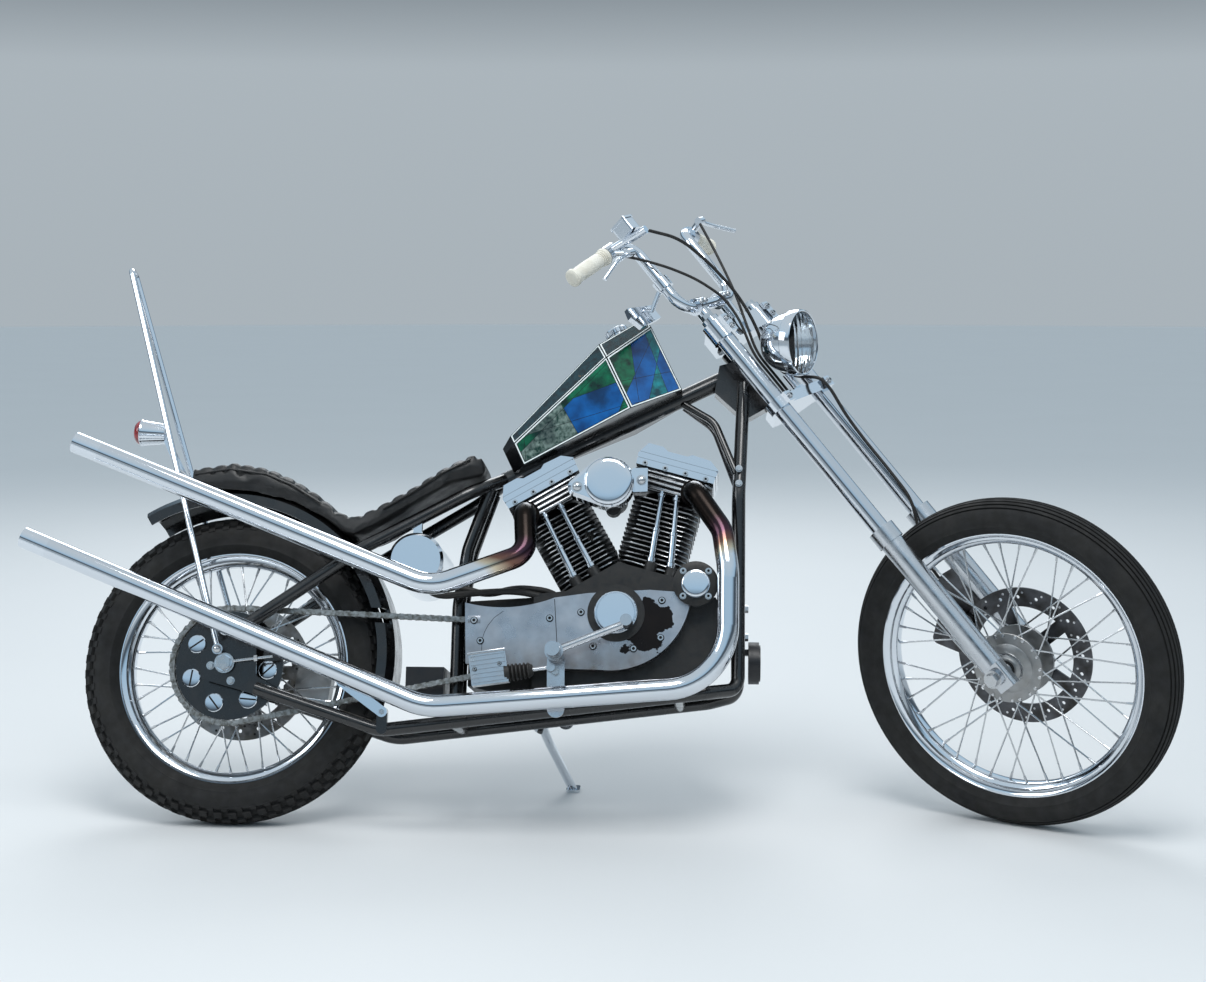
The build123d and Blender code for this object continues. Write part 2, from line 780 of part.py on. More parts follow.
lamp_u = LOWER_CLAMP_U + LAMP_RISE
lamp_facing = Vector(cos(rake), 0, -sin(rake))
lamp_plane = Plane(origin=(LAMP_AHEAD, 0, lamp_u), x_dir=(0, 1, 0), z_dir=lamp_facing)

with BuildPart() as headlamp_shell:
    with BuildSketch(Plane(origin=lamp_plane.origin, x_dir=lamp_facing, z_dir=(0, 1, 0))) as shell:
        with BuildLine():
            Polyline(
                (-LAMP_LENGTH, 0),
                (-LAMP_LENGTH, 28),
                (-LAMP_LENGTH + 12, 46),
                (-LAMP_LENGTH / 2, LAMP_R - 8),
                (-22, LAMP_R - 4),
                (-20, LAMP_R),
                (-4, LAMP_R),
                (-4, 0),
                close=True,
            )
        make_face()
    revolve(shell.sketch, axis=Axis(lamp_plane.origin, lamp_facing))
    with BuildSketch(Plane.XY.offset(lower_clamp_top)) as stalk:
        with Locations((LAMP_STALK_AHEAD, 0)):
            Circle(LAMP_STALK_R)
    extrude(stalk.sketch, amount=lamp_u - lower_clamp_top)

with BuildPart() as headlamp_lens:
    with BuildSketch(lamp_plane.offset(-4 + SEAT_GAP)) as face:
        Circle(LAMP_R - 4)
    extrude(face.sketch, amount=LENS_THICKNESS, taper=30)

# Cables that ride on the fork: the brake hose to the caliper, the throttle and the clutch cable,
# which end in guides on the lower clamp.
GUIDE_AHEAD = 44
GUIDE_HALF = 16
GUIDE_HEIGHT = 14
hose_end = master + Vector(100, 8, -22)
guide_top = lower_clamp_top + GUIDE_HEIGHT

brake_hose = [
    (hose_end.X - 2, hose_end.Y + 12, hose_end.Z - 4),
    (118, -84, 1128),
    (108, -30, 1062),
    (92, 12, 985),
    (76, 24, 915),
    (48, 28, 845),
    (47, 29, 785),
    (66, 36, 758),
    (102, 44, 724),
    (102, 47, 690),
    (86, 56, 630),
    (80, 60, 560),
    (80, 60, 480),
    (78, 58, 400),
    (46, 53, 340),
    (10, 62, 290),
    (-1, 78, 238),
]
throttle_cable = [
    (28, -168, 1172),
    (48, -140, 1136),
    (64, -104, 1096),
    (74, -56, 1046),
    (77, -18, 985),
    (70, -14, 925),
    (GUIDE_AHEAD, -GUIDE_HALF, 850),
    (GUIDE_AHEAD, -GUIDE_HALF + 1, 790),
    (GUIDE_AHEAD, -GUIDE_HALF, guide_top),
]
clutch_cable = [
    (64, 146, 1186),
    (56, 138, 1126),
    (60, 98, 1052),
    (68, 50, 985),
    (70, 6, 925),
    (GUIDE_AHEAD, 0, 850),
    (GUIDE_AHEAD, 1, 790),
    (GUIDE_AHEAD, 0, guide_top),
]

with BuildPart() as fork_cables:
    for route, radius in ((brake_hose, 3.5), (throttle_cable, 3), (clutch_cable, 3)):
        bends = easy_bends(route)
        print("cable bends", bends)
        add_tube(route, radius, bends)
    for guide_y in (-GUIDE_HALF, 0):
        with BuildSketch(Plane.XY.offset(lower_clamp_top)) as guide:
            with Locations((GUIDE_AHEAD, guide_y)):
                Circle(6)
        extrude(guide.sketch, amount=GUIDE_HEIGHT)
    add(hand_controls.part, mode=Mode.SUBTRACT)
    add(front_caliper.part, mode=Mode.SUBTRACT)

# Frame
neck_axis = Plane(
    origin=(steering_x, 0, steering_z), x_dir=(cos(rake), 0, sin(rake)), z_dir=(-sin(rake), 0, cos(rake))
)
# The neck's gusset: ahead of the steering axis, up along it
GUSSET = [(-7.5, 741), (-76, 751), (-90, 838.5), (-45, 879), (8, 857)]

with BuildPart() as frame_neck:
    head_low = lower_clamp_top + HEAD_GAP
    head_high = upper_clamp_low - HEAD_GAP
    with BuildSketch(neck_axis.offset(head_low)) as head:
        Circle(HEAD_R)
    extrude(head.sketch, amount=head_high - head_low)
    add_slab([neck_point(ahead, up) for ahead, up in GUSSET], -22, 22)
    with BuildSketch(neck_axis.offset(head_low - HEAD_R)) as below:
        Circle(2 * HEAD_R)
    extrude(below.sketch, amount=HEAD_R, mode=Mode.SUBTRACT)
    with BuildSketch(neck_axis.offset(head_low)) as bore:
        Circle(STEM_R + BORE_GAP)
    extrude(bore.sketch, amount=head_high - head_low, mode=Mode.SUBTRACT)

PLATE = [
    (-52, 350), (-48, 292), (64, 262), (100, 254), (104, 278),
    (66, 300), (64, 350), (58, 420), (30, 432), (10, 380),
]
plate_face = PLATE_Y + PLATE_THICKNESS

with BuildPart() as axle_plates:
    for side in (-1, 1):
        add_slab(PLATE, side * PLATE_Y, side * plate_face)
    add_cross_bar(*REAR_HUB, -plate_face, plate_face, REAR_AXLE_R, mode=Mode.SUBTRACT)

# The backbone passes just over the rear rocker cover's front corner and ends at the steering axis.
ROCKER = [
    (-84, 0), (84, 0), (87, 30), (66, 46), (26, 48), (16, 42), (-26, 42), (-38, 49), (-70, 49), (-86, 24),
]
head_height = DECK_HEIGHT + BARREL_LENGTH
rocker_height = head_height + HEAD_LENGTH
slope = radians(BACKBONE_SLOPE)
corner_x, corner_z = cylinder_point(REAR_CYLINDER_LEAN, rocker_height + ROCKER[3][1], ROCKER[3][0])
backbone_rear_z = corner_z + (BACKBONE_R + ENGINE_ROOM) / cos(slope)
backbone_rear_z -= (corner_x - BACKBONE_REAR_X) * tan(slope)
behind_axis = (steering_x - BACKBONE_REAR_X) * cos(rake) + (steering_z - backbone_rear_z) * sin(rake)
backbone_length = behind_axis / cos(slope - rake)
backbone_plane = Plane(
    origin=(BACKBONE_REAR_X, 0, backbone_rear_z), x_dir=(0, 1, 0), z_dir=(cos(slope), 0, sin(slope))
)

with BuildPart() as frame_backbone:
    with BuildSketch(backbone_plane) as ring:
        Circle(BACKBONE_R)
    extrude(ring.sketch, amount=backbone_length)
    add(frame_neck.part, mode=Mode.SUBTRACT)
    with BuildSketch(neck_axis.offset(LOWER_CLAMP_U)) as room:
        Circle(HEAD_R)
    extrude(room.sketch, amount=UPPER_CLAMP_U - LOWER_CLAMP_U, mode=Mode.SUBTRACT)

downtube_top_x, downtube_top_z = neck_point(-28.8, DOWNTUBE_TOP_U)
# The curved braces beside the neck: behind the downtube's line, half width, height
BRACES = ((-117, 12, 905), (-52, 32, 862), (-6, 55, 745))

with BuildPart() as frame_downtubes:
    for side in (-1, 1):
        add_tube(
            [
                (downtube_top_x, side * DOWNTUBE_TOP_HALF, downtube_top_z),
                (rail_front_x, side * DOWNTUBE_HALF, 700),
                (rail_front_x, side * DOWNTUBE_HALF, 330),
            ],
            RAIL_R,
            [120],
        )
        add_tube([(rail_front_x + ahead, side * half, up) for ahead, half, up in BRACES], 8, [60])
    add(frame_neck.part, mode=Mode.SUBTRACT)
    add(frame_backbone.part, mode=Mode.SUBTRACT)
    with BuildSketch(neck_axis.offset(LOWER_CLAMP_U)) as room:
        Circle(HEAD_R)
    extrude(room.sketch, amount=UPPER_CLAMP_U - LOWER_CLAMP_U, mode=Mode.SUBTRACT)

HANGER_FOOT = (335, 227)

with BuildPart() as frame_rails:
    for side in (-1, 1):
        add_tube(
            [
                (rail_front_x, side * DOWNTUBE_HALF, 330),
                (rail_front_x, side * DOWNTUBE_HALF, RAIL_FRONT_Z),
                (rail_front_x - 60, side * RAIL_HALF, RAIL_FRONT_Z - 12),
                (RAIL_MID_X, side * RAIL_HALF, RAIL_MID_Z),
                (RAIL_REAR_X, side * RAIL_HALF, RAIL_REAR_Z),
            ],
            RAIL_R,
            [30, 30, 100],
        )
    tab_face = -RAIL_HALF - RAIL_R - HANGER_THICKNESS / 2
    add_link([HANGER_FOOT, (HANGER_FOOT[0], RAIL_MID_Z + 2)], HANGER_R, tab_face, tab_face + 12)
    add(axle_plates.part, mode=Mode.SUBTRACT)

with BuildPart() as frame_seat_stays:
    for side in (-1, 1):
        add_tube(
            [
                (STAY_REAR_X, side * STAY_HALF, STAY_REAR_Z),
                (STAY_KNEE_X, side * STAY_HALF, STAY_KNEE_Z),
                (BACKBONE_REAR_X - 60, side * 70, backbone_rear_z - 36),
                (BACKBONE_REAR_X, side * 12, backbone_rear_z),
            ],
            RAIL_R,
            [150, 80],
        )
    fender_angle = radians(40)
    strut_x = FENDER_X + (FENDER_R - FENDER_SKIRT / 2) * cos(fender_angle)
    strut_z = FENDER_Z + (FENDER_R - FENDER_SKIRT / 2) * sin(fender_angle)
    for side in (-1, 1):
        add_cross_bar(strut_x, strut_z, side * (FENDER_HALF + SEAT_GAP), side * STAY_HALF, 8)
    add(axle_plates.part, mode=Mode.SUBTRACT)
    add(frame_backbone.part, mode=Mode.SUBTRACT)

with BuildPart() as frame_seat_posts:
    for side in (-1, 1):
        add_tube(
            [
                (BACKBONE_REAR_X - 25, side * POST_HALF, backbone_rear_z - 24),
                (490, side * POST_HALF, 580),
                (POST_FOOT_X, side * POST_HALF, 460),
                (POST_FOOT_X, side * POST_HALF, POST_FOOT_Z),
            ],
            RAIL_R,
            [120, 200],
        )
    for bar_x, bar_z in ((POST_FOOT_X, POST_FOOT_Z), (940, 268)):
        add_cross_bar(bar_x, bar_z, -RAIL_HALF, RAIL_HALF, CROSS_BAR_R)
    add(frame_rails.part, mode=Mode.SUBTRACT)
    add(frame_seat_stays.part, mode=Mode.SUBTRACT)
    add(frame_backbone.part, mode=Mode.SUBTRACT)

with BuildPart() as rear_axle:
    spacers = [(disc_face + SEAT_GAP, PLATE_Y), (-PLATE_Y, sprocket_face - SEAT_GAP)]
    add_axle(REAR_HUB, REAR_AXLE_R, plate_face, spacers)

# Tank, drawn along the backbone: flat facets between four sections
TANK_SECTIONS = (
    # along, half width, side top, bevel
    (-26, 40, 45, 14),
    (0, 65, 52, 20),
    (254, 122, 123, 37),
    (372, 76, 154, 28),
)
TANK_BEVEL_RISE = 1.15

with BuildPart() as tank:
    slices = []
    for along, half, side_top, bevel in TANK_SECTIONS:
        outline = [(-half, 0), (-half, side_top), (-half + bevel, side_top + TANK_BEVEL_RISE * bevel)]
        with BuildSketch(backbone_plane.offset(TANK_START + along)) as section:
            with BuildLine():
                Polyline(*both_ways(outline), close=True)
            make_face()
        slices.append(section.sketch)
    loft(slices, ruled=True)
    tank_length = TANK_SECTIONS[-1][0] - TANK_SECTIONS[0][0]
    with BuildSketch(backbone_plane.offset(TANK_START + TANK_SECTIONS[0][0])) as tunnel:
        Rectangle(2 * (BACKBONE_R + 4), 2 * (BACKBONE_R + SEAT_GAP))
    extrude(tunnel.sketch, amount=tank_length, mode=Mode.SUBTRACT)
    add(frame_neck.part, mode=Mode.SUBTRACT)
    add(frame_seat_stays.part, mode=Mode.SUBTRACT)

with BuildPart() as tank_cap:
    tank_top = Plane(backbone_plane.origin, x_dir=backbone_plane.z_dir, z_dir=backbone_plane.y_dir)
    with BuildSketch(tank_top.offset(160)) as neck:
        with Locations((TANK_START + CAP_ALONG, 0)):
            Circle(CAP_R - 3)
    extrude(neck.sketch, amount=34)
    with BuildSketch(tank_top.offset(190)) as cap:
        with Locations((TANK_START + CAP_ALONG, 0)):
            RegularPolygon(CAP_R, 12)
    extrude(cap.sketch, amount=15)
    add(tank.part, mode=Mode.SUBTRACT)

with BuildPart() as rear_fender:
    outer = [
        (-FENDER_HALF, FENDER_R - FENDER_SKIRT),
        (-FENDER_HALF, FENDER_R - FENDER_BEVEL),
        (-FENDER_CROWN_HALF, FENDER_R),
    ]
    inner = [
        (FENDER_HALF - FENDER_WALL, FENDER_R - FENDER_SKIRT),
        (FENDER_HALF - FENDER_WALL, FENDER_R - FENDER_BEVEL - FENDER_WALL),
        (FENDER_CROWN_HALF - FENDER_WALL, FENDER_R - FENDER_WALL),
    ]
    with BuildSketch(turned_plane(FENDER_X, FENDER_Z, FENDER_TAIL_ANGLE)) as section:
        with BuildLine():
            Polyline(*both_ways(outer), *both_ways(inner), close=True)
        make_face()
    revolve(section.sketch, axis=cross_axis(FENDER_X, FENDER_Z), revolution_arc=FENDER_ARC)
    cut_chain_room()

SEAT_TOP = [
    (-105, 741), (-20, 758), (60, 745), (117, 720), (175, 683), (217, 648), (255, 636), (300, 652),
    (380, 700), (450, 748), (505, 781), (522, 776),
]
SEAT_UNDER = [
    (528, 742), (460, 716), (380, 668), (300, 616), (252, 596), (224, 614), (188, 640), (117, 676),
    (20, 698), (-105, 688),
]
SEAT_PLAN = [(-110, 74), (190, 78), (300, SEAT_HALF), (440, SEAT_HALF), (532, 70)]

with BuildPart() as seat:
    add_slab(SEAT_TOP + SEAT_UNDER, -SEAT_HALF, SEAT_HALF)
    with BuildSketch(Plane.XY) as plan:
        with BuildLine():
            Polyline(*SEAT_PLAN, *[(x, -y) for x, y in reversed(SEAT_PLAN)], close=True)
        make_face()
    extrude(plan.sketch, amount=1000, mode=Mode.INTERSECT)
    add(frame_backbone.part, mode=Mode.SUBTRACT)
    add(frame_seat_stays.part, mode=Mode.SUBTRACT)
    add(frame_seat_posts.part, mode=Mode.SUBTRACT)
    add(tank.part, mode=Mode.SUBTRACT)
    with BuildSketch(side_plane(FENDER_HALF)) as over_fender:
        with Locations((FENDER_X, FENDER_Z)):
            Circle(FENDER_R + SEAT_GAP)
    extrude(over_fender.sketch, amount=2 * FENDER_HALF, mode=Mode.SUBTRACT)

with BuildPart() as sissy_bar:
    add_tube(
        [
            (SISSY_FOOT_X, -SISSY_HALF, SISSY_FOOT_Z),
            (SISSY_TOP_X, -SISSY_TOP_HALF, SISSY_TOP_Z),
            (SISSY_TOP_X, SISSY_TOP_HALF, SISSY_TOP_Z),
            (SISSY_FOOT_X, SISSY_HALF, SISSY_FOOT_Z),
        ],
        SISSY_R,
        [14, 14],
    )
    for side in (-1, 1):
        add_cross_bar(SISSY_FOOT_X, SISSY_FOOT_Z, side * plate_face, side * (SISSY_HALF + 8), 11)

tail_share = (TAIL_BAR_Z - SISSY_FOOT_Z) / (SISSY_TOP_Z - SISSY_FOOT_Z)
tail_bar_x = SISSY_FOOT_X + tail_share * (SISSY_TOP_X - SISSY_FOOT_X)
tail_bar_half = SISSY_HALF - tail_share * (SISSY_HALF - SISSY_TOP_HALF)
tail_plane = Plane(
    origin=(tail_bar_x - 47, 0, TAIL_BAR_Z + 93), x_dir=(0, 1, 0), z_dir=(-1, 0, 0.05)
)

with BuildPart() as tail_lamp:
    with BuildSketch(tail_plane) as base:
        Circle(22)
    extrude(base.sketch, amount=52, taper=-7)
    add_slab(
        [
            (tail_bar_x - 57, TAIL_BAR_Z + 91),
            (tail_bar_x - 45, TAIL_BAR_Z + 91),
            (tail_bar_x + 5, TAIL_BAR_Z - 4),
            (tail_bar_x - 11, TAIL_BAR_Z - 4),
        ],
        -12,
        12,
    )
    add_cross_bar(tail_bar_x, TAIL_BAR_Z, -tail_bar_half, tail_bar_half, TAIL_BAR_R)
    add(sissy_bar.part, mode=Mode.SUBTRACT)

with BuildPart() as tail_lens:
    with BuildSketch(tail_plane.offset(52 + SEAT_GAP)) as base:
        Circle(27)
    extrude(base.sketch, amount=16, taper=20)

# Exhaust: both pipes leave the heads' right sides and run back along that side.
rear_port_x, rear_port_z = cylinder_point(REAR_CYLINDER_LEAN, head_height + PORT_RISE, -58)
front_port_x, front_port_z = cylinder_point(FRONT_CYLINDER_LEAN, head_height + PORT_RISE, 50)
port_face = -HEAD_FIN_HALF - SEAT_GAP
upper_route = [
    (rear_port_x, port_face, rear_port_z),
    (rear_port_x, -126, rear_port_z),
    (626, -162, 551),
    (432, PIPE_Y, 479),
    (-273, PIPE_Y, 758),
]
lower_route = [
    (front_port_x, port_face, front_port_z),
    (front_port_x, -126, front_port_z),
    (1028, -146, 606),
    (1040, PIPE_Y, 520),
    (1040, PIPE_Y, 286),
    (428, PIPE_Y, 234),
    (-368, PIPE_Y, 554),
]

with BuildPart() as exhaust_tips:
    for route in (upper_route, lower_route):
        end = Vector(*route[-1])
        along = (end - Vector(*route[-2])).normalized()
        with BuildSketch(Plane(origin=end, z_dir=along)) as ring:
            Circle(PIPE_R)
            Circle(PIPE_R - PIPE_WALL, mode=Mode.SUBTRACT)
        extrude(ring.sketch, amount=PIPE_BORE)

with BuildPart() as exhaust_upper:
    add_tube(upper_route, PIPE_R, [30, 40, 110])
    add_cross_bar(rear_port_x, rear_port_z, port_face, port_face - FLANGE_THICKNESS, FLANGE_R)

with BuildPart() as exhaust_lower:
    add_tube(lower_route, PIPE_R, [30, 70, 120, 130, 150])
    add_cross_bar(front_port_x, front_port_z, port_face, port_face - FLANGE_THICKNESS, FLANGE_R)
    hanger_top = (250, 288)
    add_link([HANGER_FOOT, hanger_top], HANGER_R, tab_face, tab_face - HANGER_THICKNESS)
    add_cross_bar(*hanger_top, tab_face, PIPE_Y, 7)

# Engine
CASE = [
    (500, 290), (500, 468), (640, 478), (705, 485), (812, 547), (932, 515), (1000, 500), (1035, 440),
    (1035, 370), (985, 305), (930, 292), (560, 276),
]
# cylinder, place of the lifter ahead of its axis, place of the rod's top
PUSHRODS = (
    (REAR_CYLINDER_LEAN, -35, -25),
    (REAR_CYLINDER_LEAN, 8, 14),
    (FRONT_CYLINDER_LEAN, 5, -15),
    (FRONT_CYLINDER_LEAN, 49, 17),
)
cover_face = -CASE_HALF - COVER_THICKNESS
pocket_y = CHAIN_Y + CHAIN_WIDTH / 2 + CHAIN_ROOM

with BuildPart() as crankcase:
    add_slab(CASE, -CASE_HALF, CASE_HALF)
    with BuildSketch(side_plane(pocket_y)) as pocket:
        with Locations((DRIVE_X, DRIVE_Z)):
            Rectangle(2 * (DRIVE_R + 26), 300)
    extrude(pocket.sketch, amount=100, mode=Mode.SUBTRACT)
    drive_r = DRIVE_R - LINK_HALF_HEIGHT - SEAT_GAP
    add_cross_bar(DRIVE_X, DRIVE_Z, pocket_y + 2, CHAIN_Y - SPROCKET_THICKNESS / 2, drive_r)
    for angle, foot, top in PUSHRODS:
        with BuildSketch(cylinder_plane(angle, DECK_HEIGHT - LIFTER_HEIGHT / 2)) as lifter:
            with Locations((foot, PUSHROD_Y)):
                Circle(LIFTER_R)
        extrude(lifter.sketch, amount=LIFTER_HEIGHT)
    add_cross_bar(811, 435, -CASE_HALF + 10, cover_face - 2, ROUND_CAP_RING_R)
    for bar_z in (405, 465):
        with BuildSketch(Plane.YZ.offset(1020)) as lug:
            with Locations((0, bar_z)):
                Rectangle(2 * (DOWNTUBE_HALF - RAIL_R), 16)
        extrude(lug.sketch, amount=rail_front_x - 1020)
        add_cross_bar(rail_front_x, bar_z, -DOWNTUBE_HALF, DOWNTUBE_HALF, 8)
    add(frame_downtubes.part, mode=Mode.SUBTRACT)
    add(frame_rails.part, mode=Mode.SUBTRACT)
    add(frame_seat_posts.part, mode=Mode.SUBTRACT)


def add_fin(angle, height, half, corner, thickness):
    """Adds one square fin with cut corners, at a height along a cylinder."""
    with BuildSketch(cylinder_plane(angle, height)) as fin:
        with BuildLine():
            Polyline(
                (-half, -half + corner), (-half + corner, -half), (half - corner, -half),
                (half, -half + corner), (half, half - corner), (half - corner, half),
                (-half + corner, half), (-half, half - corner), close=True,
            )
        make_face()
    extrude(fin.sketch, amount=thickness)


fins = int((BARREL_LENGTH - FIN_START) / FIN_PITCH) - 1

with BuildPart() as cylinders:
    for angle in (REAR_CYLINDER_LEAN, FRONT_CYLINDER_LEAN):
        with BuildSketch(cylinder_plane(angle, DECK_HEIGHT)) as barrel:
            Circle(BARREL_R)
        extrude(barrel.sketch, amount=BARREL_LENGTH)
        for number in range(fins):
            height = DECK_HEIGHT + FIN_START + number * FIN_PITCH
            add_fin(angle, height, FIN_HALF, FIN_CORNER, FIN_THICKNESS)
    add(crankcase.part, mode=Mode.SUBTRACT)
    with BuildSketch(side_plane(FIN_HALF + 1)) as valley:
        with Locations(Location((CRANK_X, CRANK_Z), -(REAR_CYLINDER_LEAN + FRONT_CYLINDER_LEAN) / 2)):
            Rectangle(BARREL_GAP, 4 * BARREL_LENGTH)
    extrude(valley.sketch, amount=2 * FIN_HALF + 2, mode=Mode.SUBTRACT)

with BuildPart() as cylinder_heads:
    for angle in (REAR_CYLINDER_LEAN, FRONT_CYLINDER_LEAN):
        add_fin(angle, head_height, FIN_HALF, FIN_CORNER, HEAD_LENGTH)
        for number in range(HEAD_FINS):
            height = head_height + 2 + number * HEAD_LENGTH / HEAD_FINS
            add_fin(angle, height, HEAD_FIN_HALF, FIN_CORNER - 6, HEAD_FIN_THICKNESS)
    for port_x, port_z in ((rear_port_x, rear_port_z), (front_port_x, front_port_z)):
        add_cross_bar(port_x, port_z, -FIN_HALF + 10, -HEAD_FIN_HALF, FLANGE_R - 2)
    add(cylinders.part, mode=Mode.SUBTRACT)

with BuildPart() as rocker_covers:
    for angle in (REAR_CYLINDER_LEAN, FRONT_CYLINDER_LEAN):
        base = cylinder_plane(angle, rocker_height)
        side_face = Plane(origin=base.origin, x_dir=base.x_dir, z_dir=(0, -1, 0))
        with BuildSketch(side_face.offset(-ROCKER_HALF)) as face:
            with BuildLine():
                Polyline(*ROCKER, close=True)
            make_face()
        extrude(face.sketch, amount=2 * ROCKER_HALF)
        for height in (13, 26):
            with BuildSketch(cylinder_plane(angle, rocker_height + height)) as groove:
                Rectangle(2 * HEAD_FIN_HALF + 20, 2 * ROCKER_HALF + 20)
                Rectangle(2 * HEAD_FIN_HALF - 2, 2 * ROCKER_HALF - 2 * GROOVE, mode=Mode.SUBTRACT)
            extrude(groove.sketch, amount=GROOVE, mode=Mode.SUBTRACT)

with BuildPart() as pushrod_tubes:
    for angle, foot, top in PUSHRODS:
        foot_x, foot_z = cylinder_point(angle, DECK_HEIGHT - 2, foot)
        top_x, top_z = cylinder_point(angle, head_height + 1, top)
        half_x, half_z = (foot_x + top_x) / 2, (foot_z + top_z) / 2
        add_tube([(foot_x, PUSHROD_Y, foot_z), (top_x, PUSHROD_Y, top_z)], PUSHROD_R - 1.5)
        add_tube([(foot_x, PUSHROD_Y, foot_z), (half_x, PUSHROD_Y, half_z)], PUSHROD_R)
    add(crankcase.part, mode=Mode.SUBTRACT)
    add(cylinder_heads.part, mode=Mode.SUBTRACT)
    add(cylinders.part, mode=Mode.SUBTRACT)

with BuildPart() as right_engine_cover:
    with BuildSketch(side_plane(-CASE_HALF)) as face:
        with BuildLine():
            Polyline((504, 328), (499, 454))
            ThreePointArc((499, 454), (584, 445), (684, 466))
            Polyline((684, 466), (752, 476), (880, 484), (940, 480), (961, 450))
            ThreePointArc((961, 450), (900, 352), (781, 318))
            Polyline((781, 318), (576, 322), (504, 328))
        make_face()
    extrude(face.sketch, amount=COVER_THICKNESS)
    add(crankcase.part, mode=Mode.SUBTRACT)

with BuildPart() as round_covers:
    add_cross_bar(811, 435, cover_face - 2, cover_face - 14, ROUND_CAP_R)
    add_cross_bar(811, 435, cover_face - 14, cover_face - 18, ROUND_CAP_R - 4)
    add_cross_bar(974, 496, -CASE_HALF + 20, -CASE_HALF - 44, TIMING_R)
    add_cross_bar(974, 496, -CASE_HALF - 44, -CASE_HALF - 52, 28)
    add(crankcase.part, mode=Mode.SUBTRACT)
    add(right_engine_cover.part, mode=Mode.SUBTRACT)
    add(cylinders.part, mode=Mode.SUBTRACT)

with BuildPart() as primary_cover:
    with BuildSketch(side_plane(CASE_HALF + PRIMARY_DEPTH)) as face:
        with BuildLine():
            Polyline(
                (560, 486), (860, 500), (915, 470), (940, 410), (930, 340), (880, 296), (560, 288),
                (520, 330), (512, 390), (524, 448), close=True,
            )
        make_face()
    extrude(face.sketch, amount=PRIMARY_DEPTH)
    chamfer(primary_cover.edges().group_by(Axis.Y)[-1], 8)
    add_cross_bar(606, 390, CASE_HALF + PRIMARY_DEPTH, CASE_HALF + PRIMARY_DEPTH + 8, 48)

with BuildPart() as air_cleaner:
    with BuildSketch(side_plane(CLEANER_Y)) as face:
        with Locations((CARB_X - 8, CARB_Z + 11)):
            Circle(CLEANER_R)
        with Locations((728, 693)):
            Circle(20)
        make_hull()
    extrude(face.sketch, amount=CLEANER_DEPTH)
    chamfer(air_cleaner.edges().group_by(Axis.Y)[0], 7)
    add_slab([(830, 690), (872, 692), (872, 742), (842, 742), (830, 730)], CLEANER_Y, CLEANER_Y - 8)

with BuildPart() as carburettor:
    add_cross_bar(CARB_X, CARB_Z, 12, CLEANER_Y, CARB_R)
    add_cross_bar(CARB_X, CARB_Z - 34, -76, CLEANER_Y + 4, 16)
    rear_inlet = cylinder_point(REAR_CYLINDER_LEAN, head_height + HEAD_LENGTH / 2, HEAD_FIN_HALF - 8)
    front_inlet = cylinder_point(FRONT_CYLINDER_LEAN, head_height + HEAD_LENGTH / 2, 8 - HEAD_FIN_HALF)
    add_tube([(rear_inlet[0], -10, rear_inlet[1]), (front_inlet[0], -10, front_inlet[1])], 17)
    add(rocker_covers.part, mode=Mode.SUBTRACT)
    add(cylinder_heads.part, mode=Mode.SUBTRACT)
    add(cylinders.part, mode=Mode.SUBTRACT)

# Equipment on the frame
with BuildPart() as oil_tank:
    add_cross_bar(OIL_TANK_X, OIL_TANK_Z, -OIL_TANK_HALF, OIL_TANK_HALF, OIL_TANK_R)
    chamfer(oil_tank.edges().filter_by(GeomType.CIRCLE), 6)
    tab_z = OIL_TANK_Z + OIL_TANK_R
    for side in (-1, 1):
        outline = [
            (OIL_TANK_X - 9, tab_z - 6),
            (OIL_TANK_X - 9, tab_z + 30),
            (OIL_TANK_X + 9, tab_z + 40),
            (OIL_TANK_X + 9, tab_z - 6),
        ]
        add_slab(outline, side * 78, side * 90)
    add(frame_seat_stays.part, mode=Mode.SUBTRACT)
    add(seat.part, mode=Mode.SUBTRACT)

oil_hose_routes = (
    [
        (OIL_TANK_X + 40, -40, OIL_TANK_Z - 36),
        (478, -80, 494),
        (540, -82, 476),
        (600, -78, 494),
        (664, -60, 490),
        (700, -40, 472),
    ],
    [
        (OIL_TANK_X + 14, -72, OIL_TANK_Z - 52),
        (440, -100, 470),
        (520, -104, 478),
        (600, -98, 484),
        (668, -84, 472),
    ],
)

with BuildPart() as oil_hoses:
    for route in oil_hose_routes:
        bends = easy_bends(route)
        print("hose bends", bends)
        add_tube(route, HOSE_R, bends)
    add(oil_tank.part, mode=Mode.SUBTRACT)
    add(crankcase.part, mode=Mode.SUBTRACT)
    add(cylinders.part, mode=Mode.SUBTRACT)

with BuildPart() as battery_box:
    add_slab([(368, 268), (368, 330), (448, 330), (448, 268)], -42, 56)
    add_slab([(360, 262), (360, 268), (POST_FOOT_X, 268), (POST_FOOT_X, 262)], -42, 56)
    add(frame_seat_posts.part, mode=Mode.SUBTRACT)

bracket_face = cover_face - 2

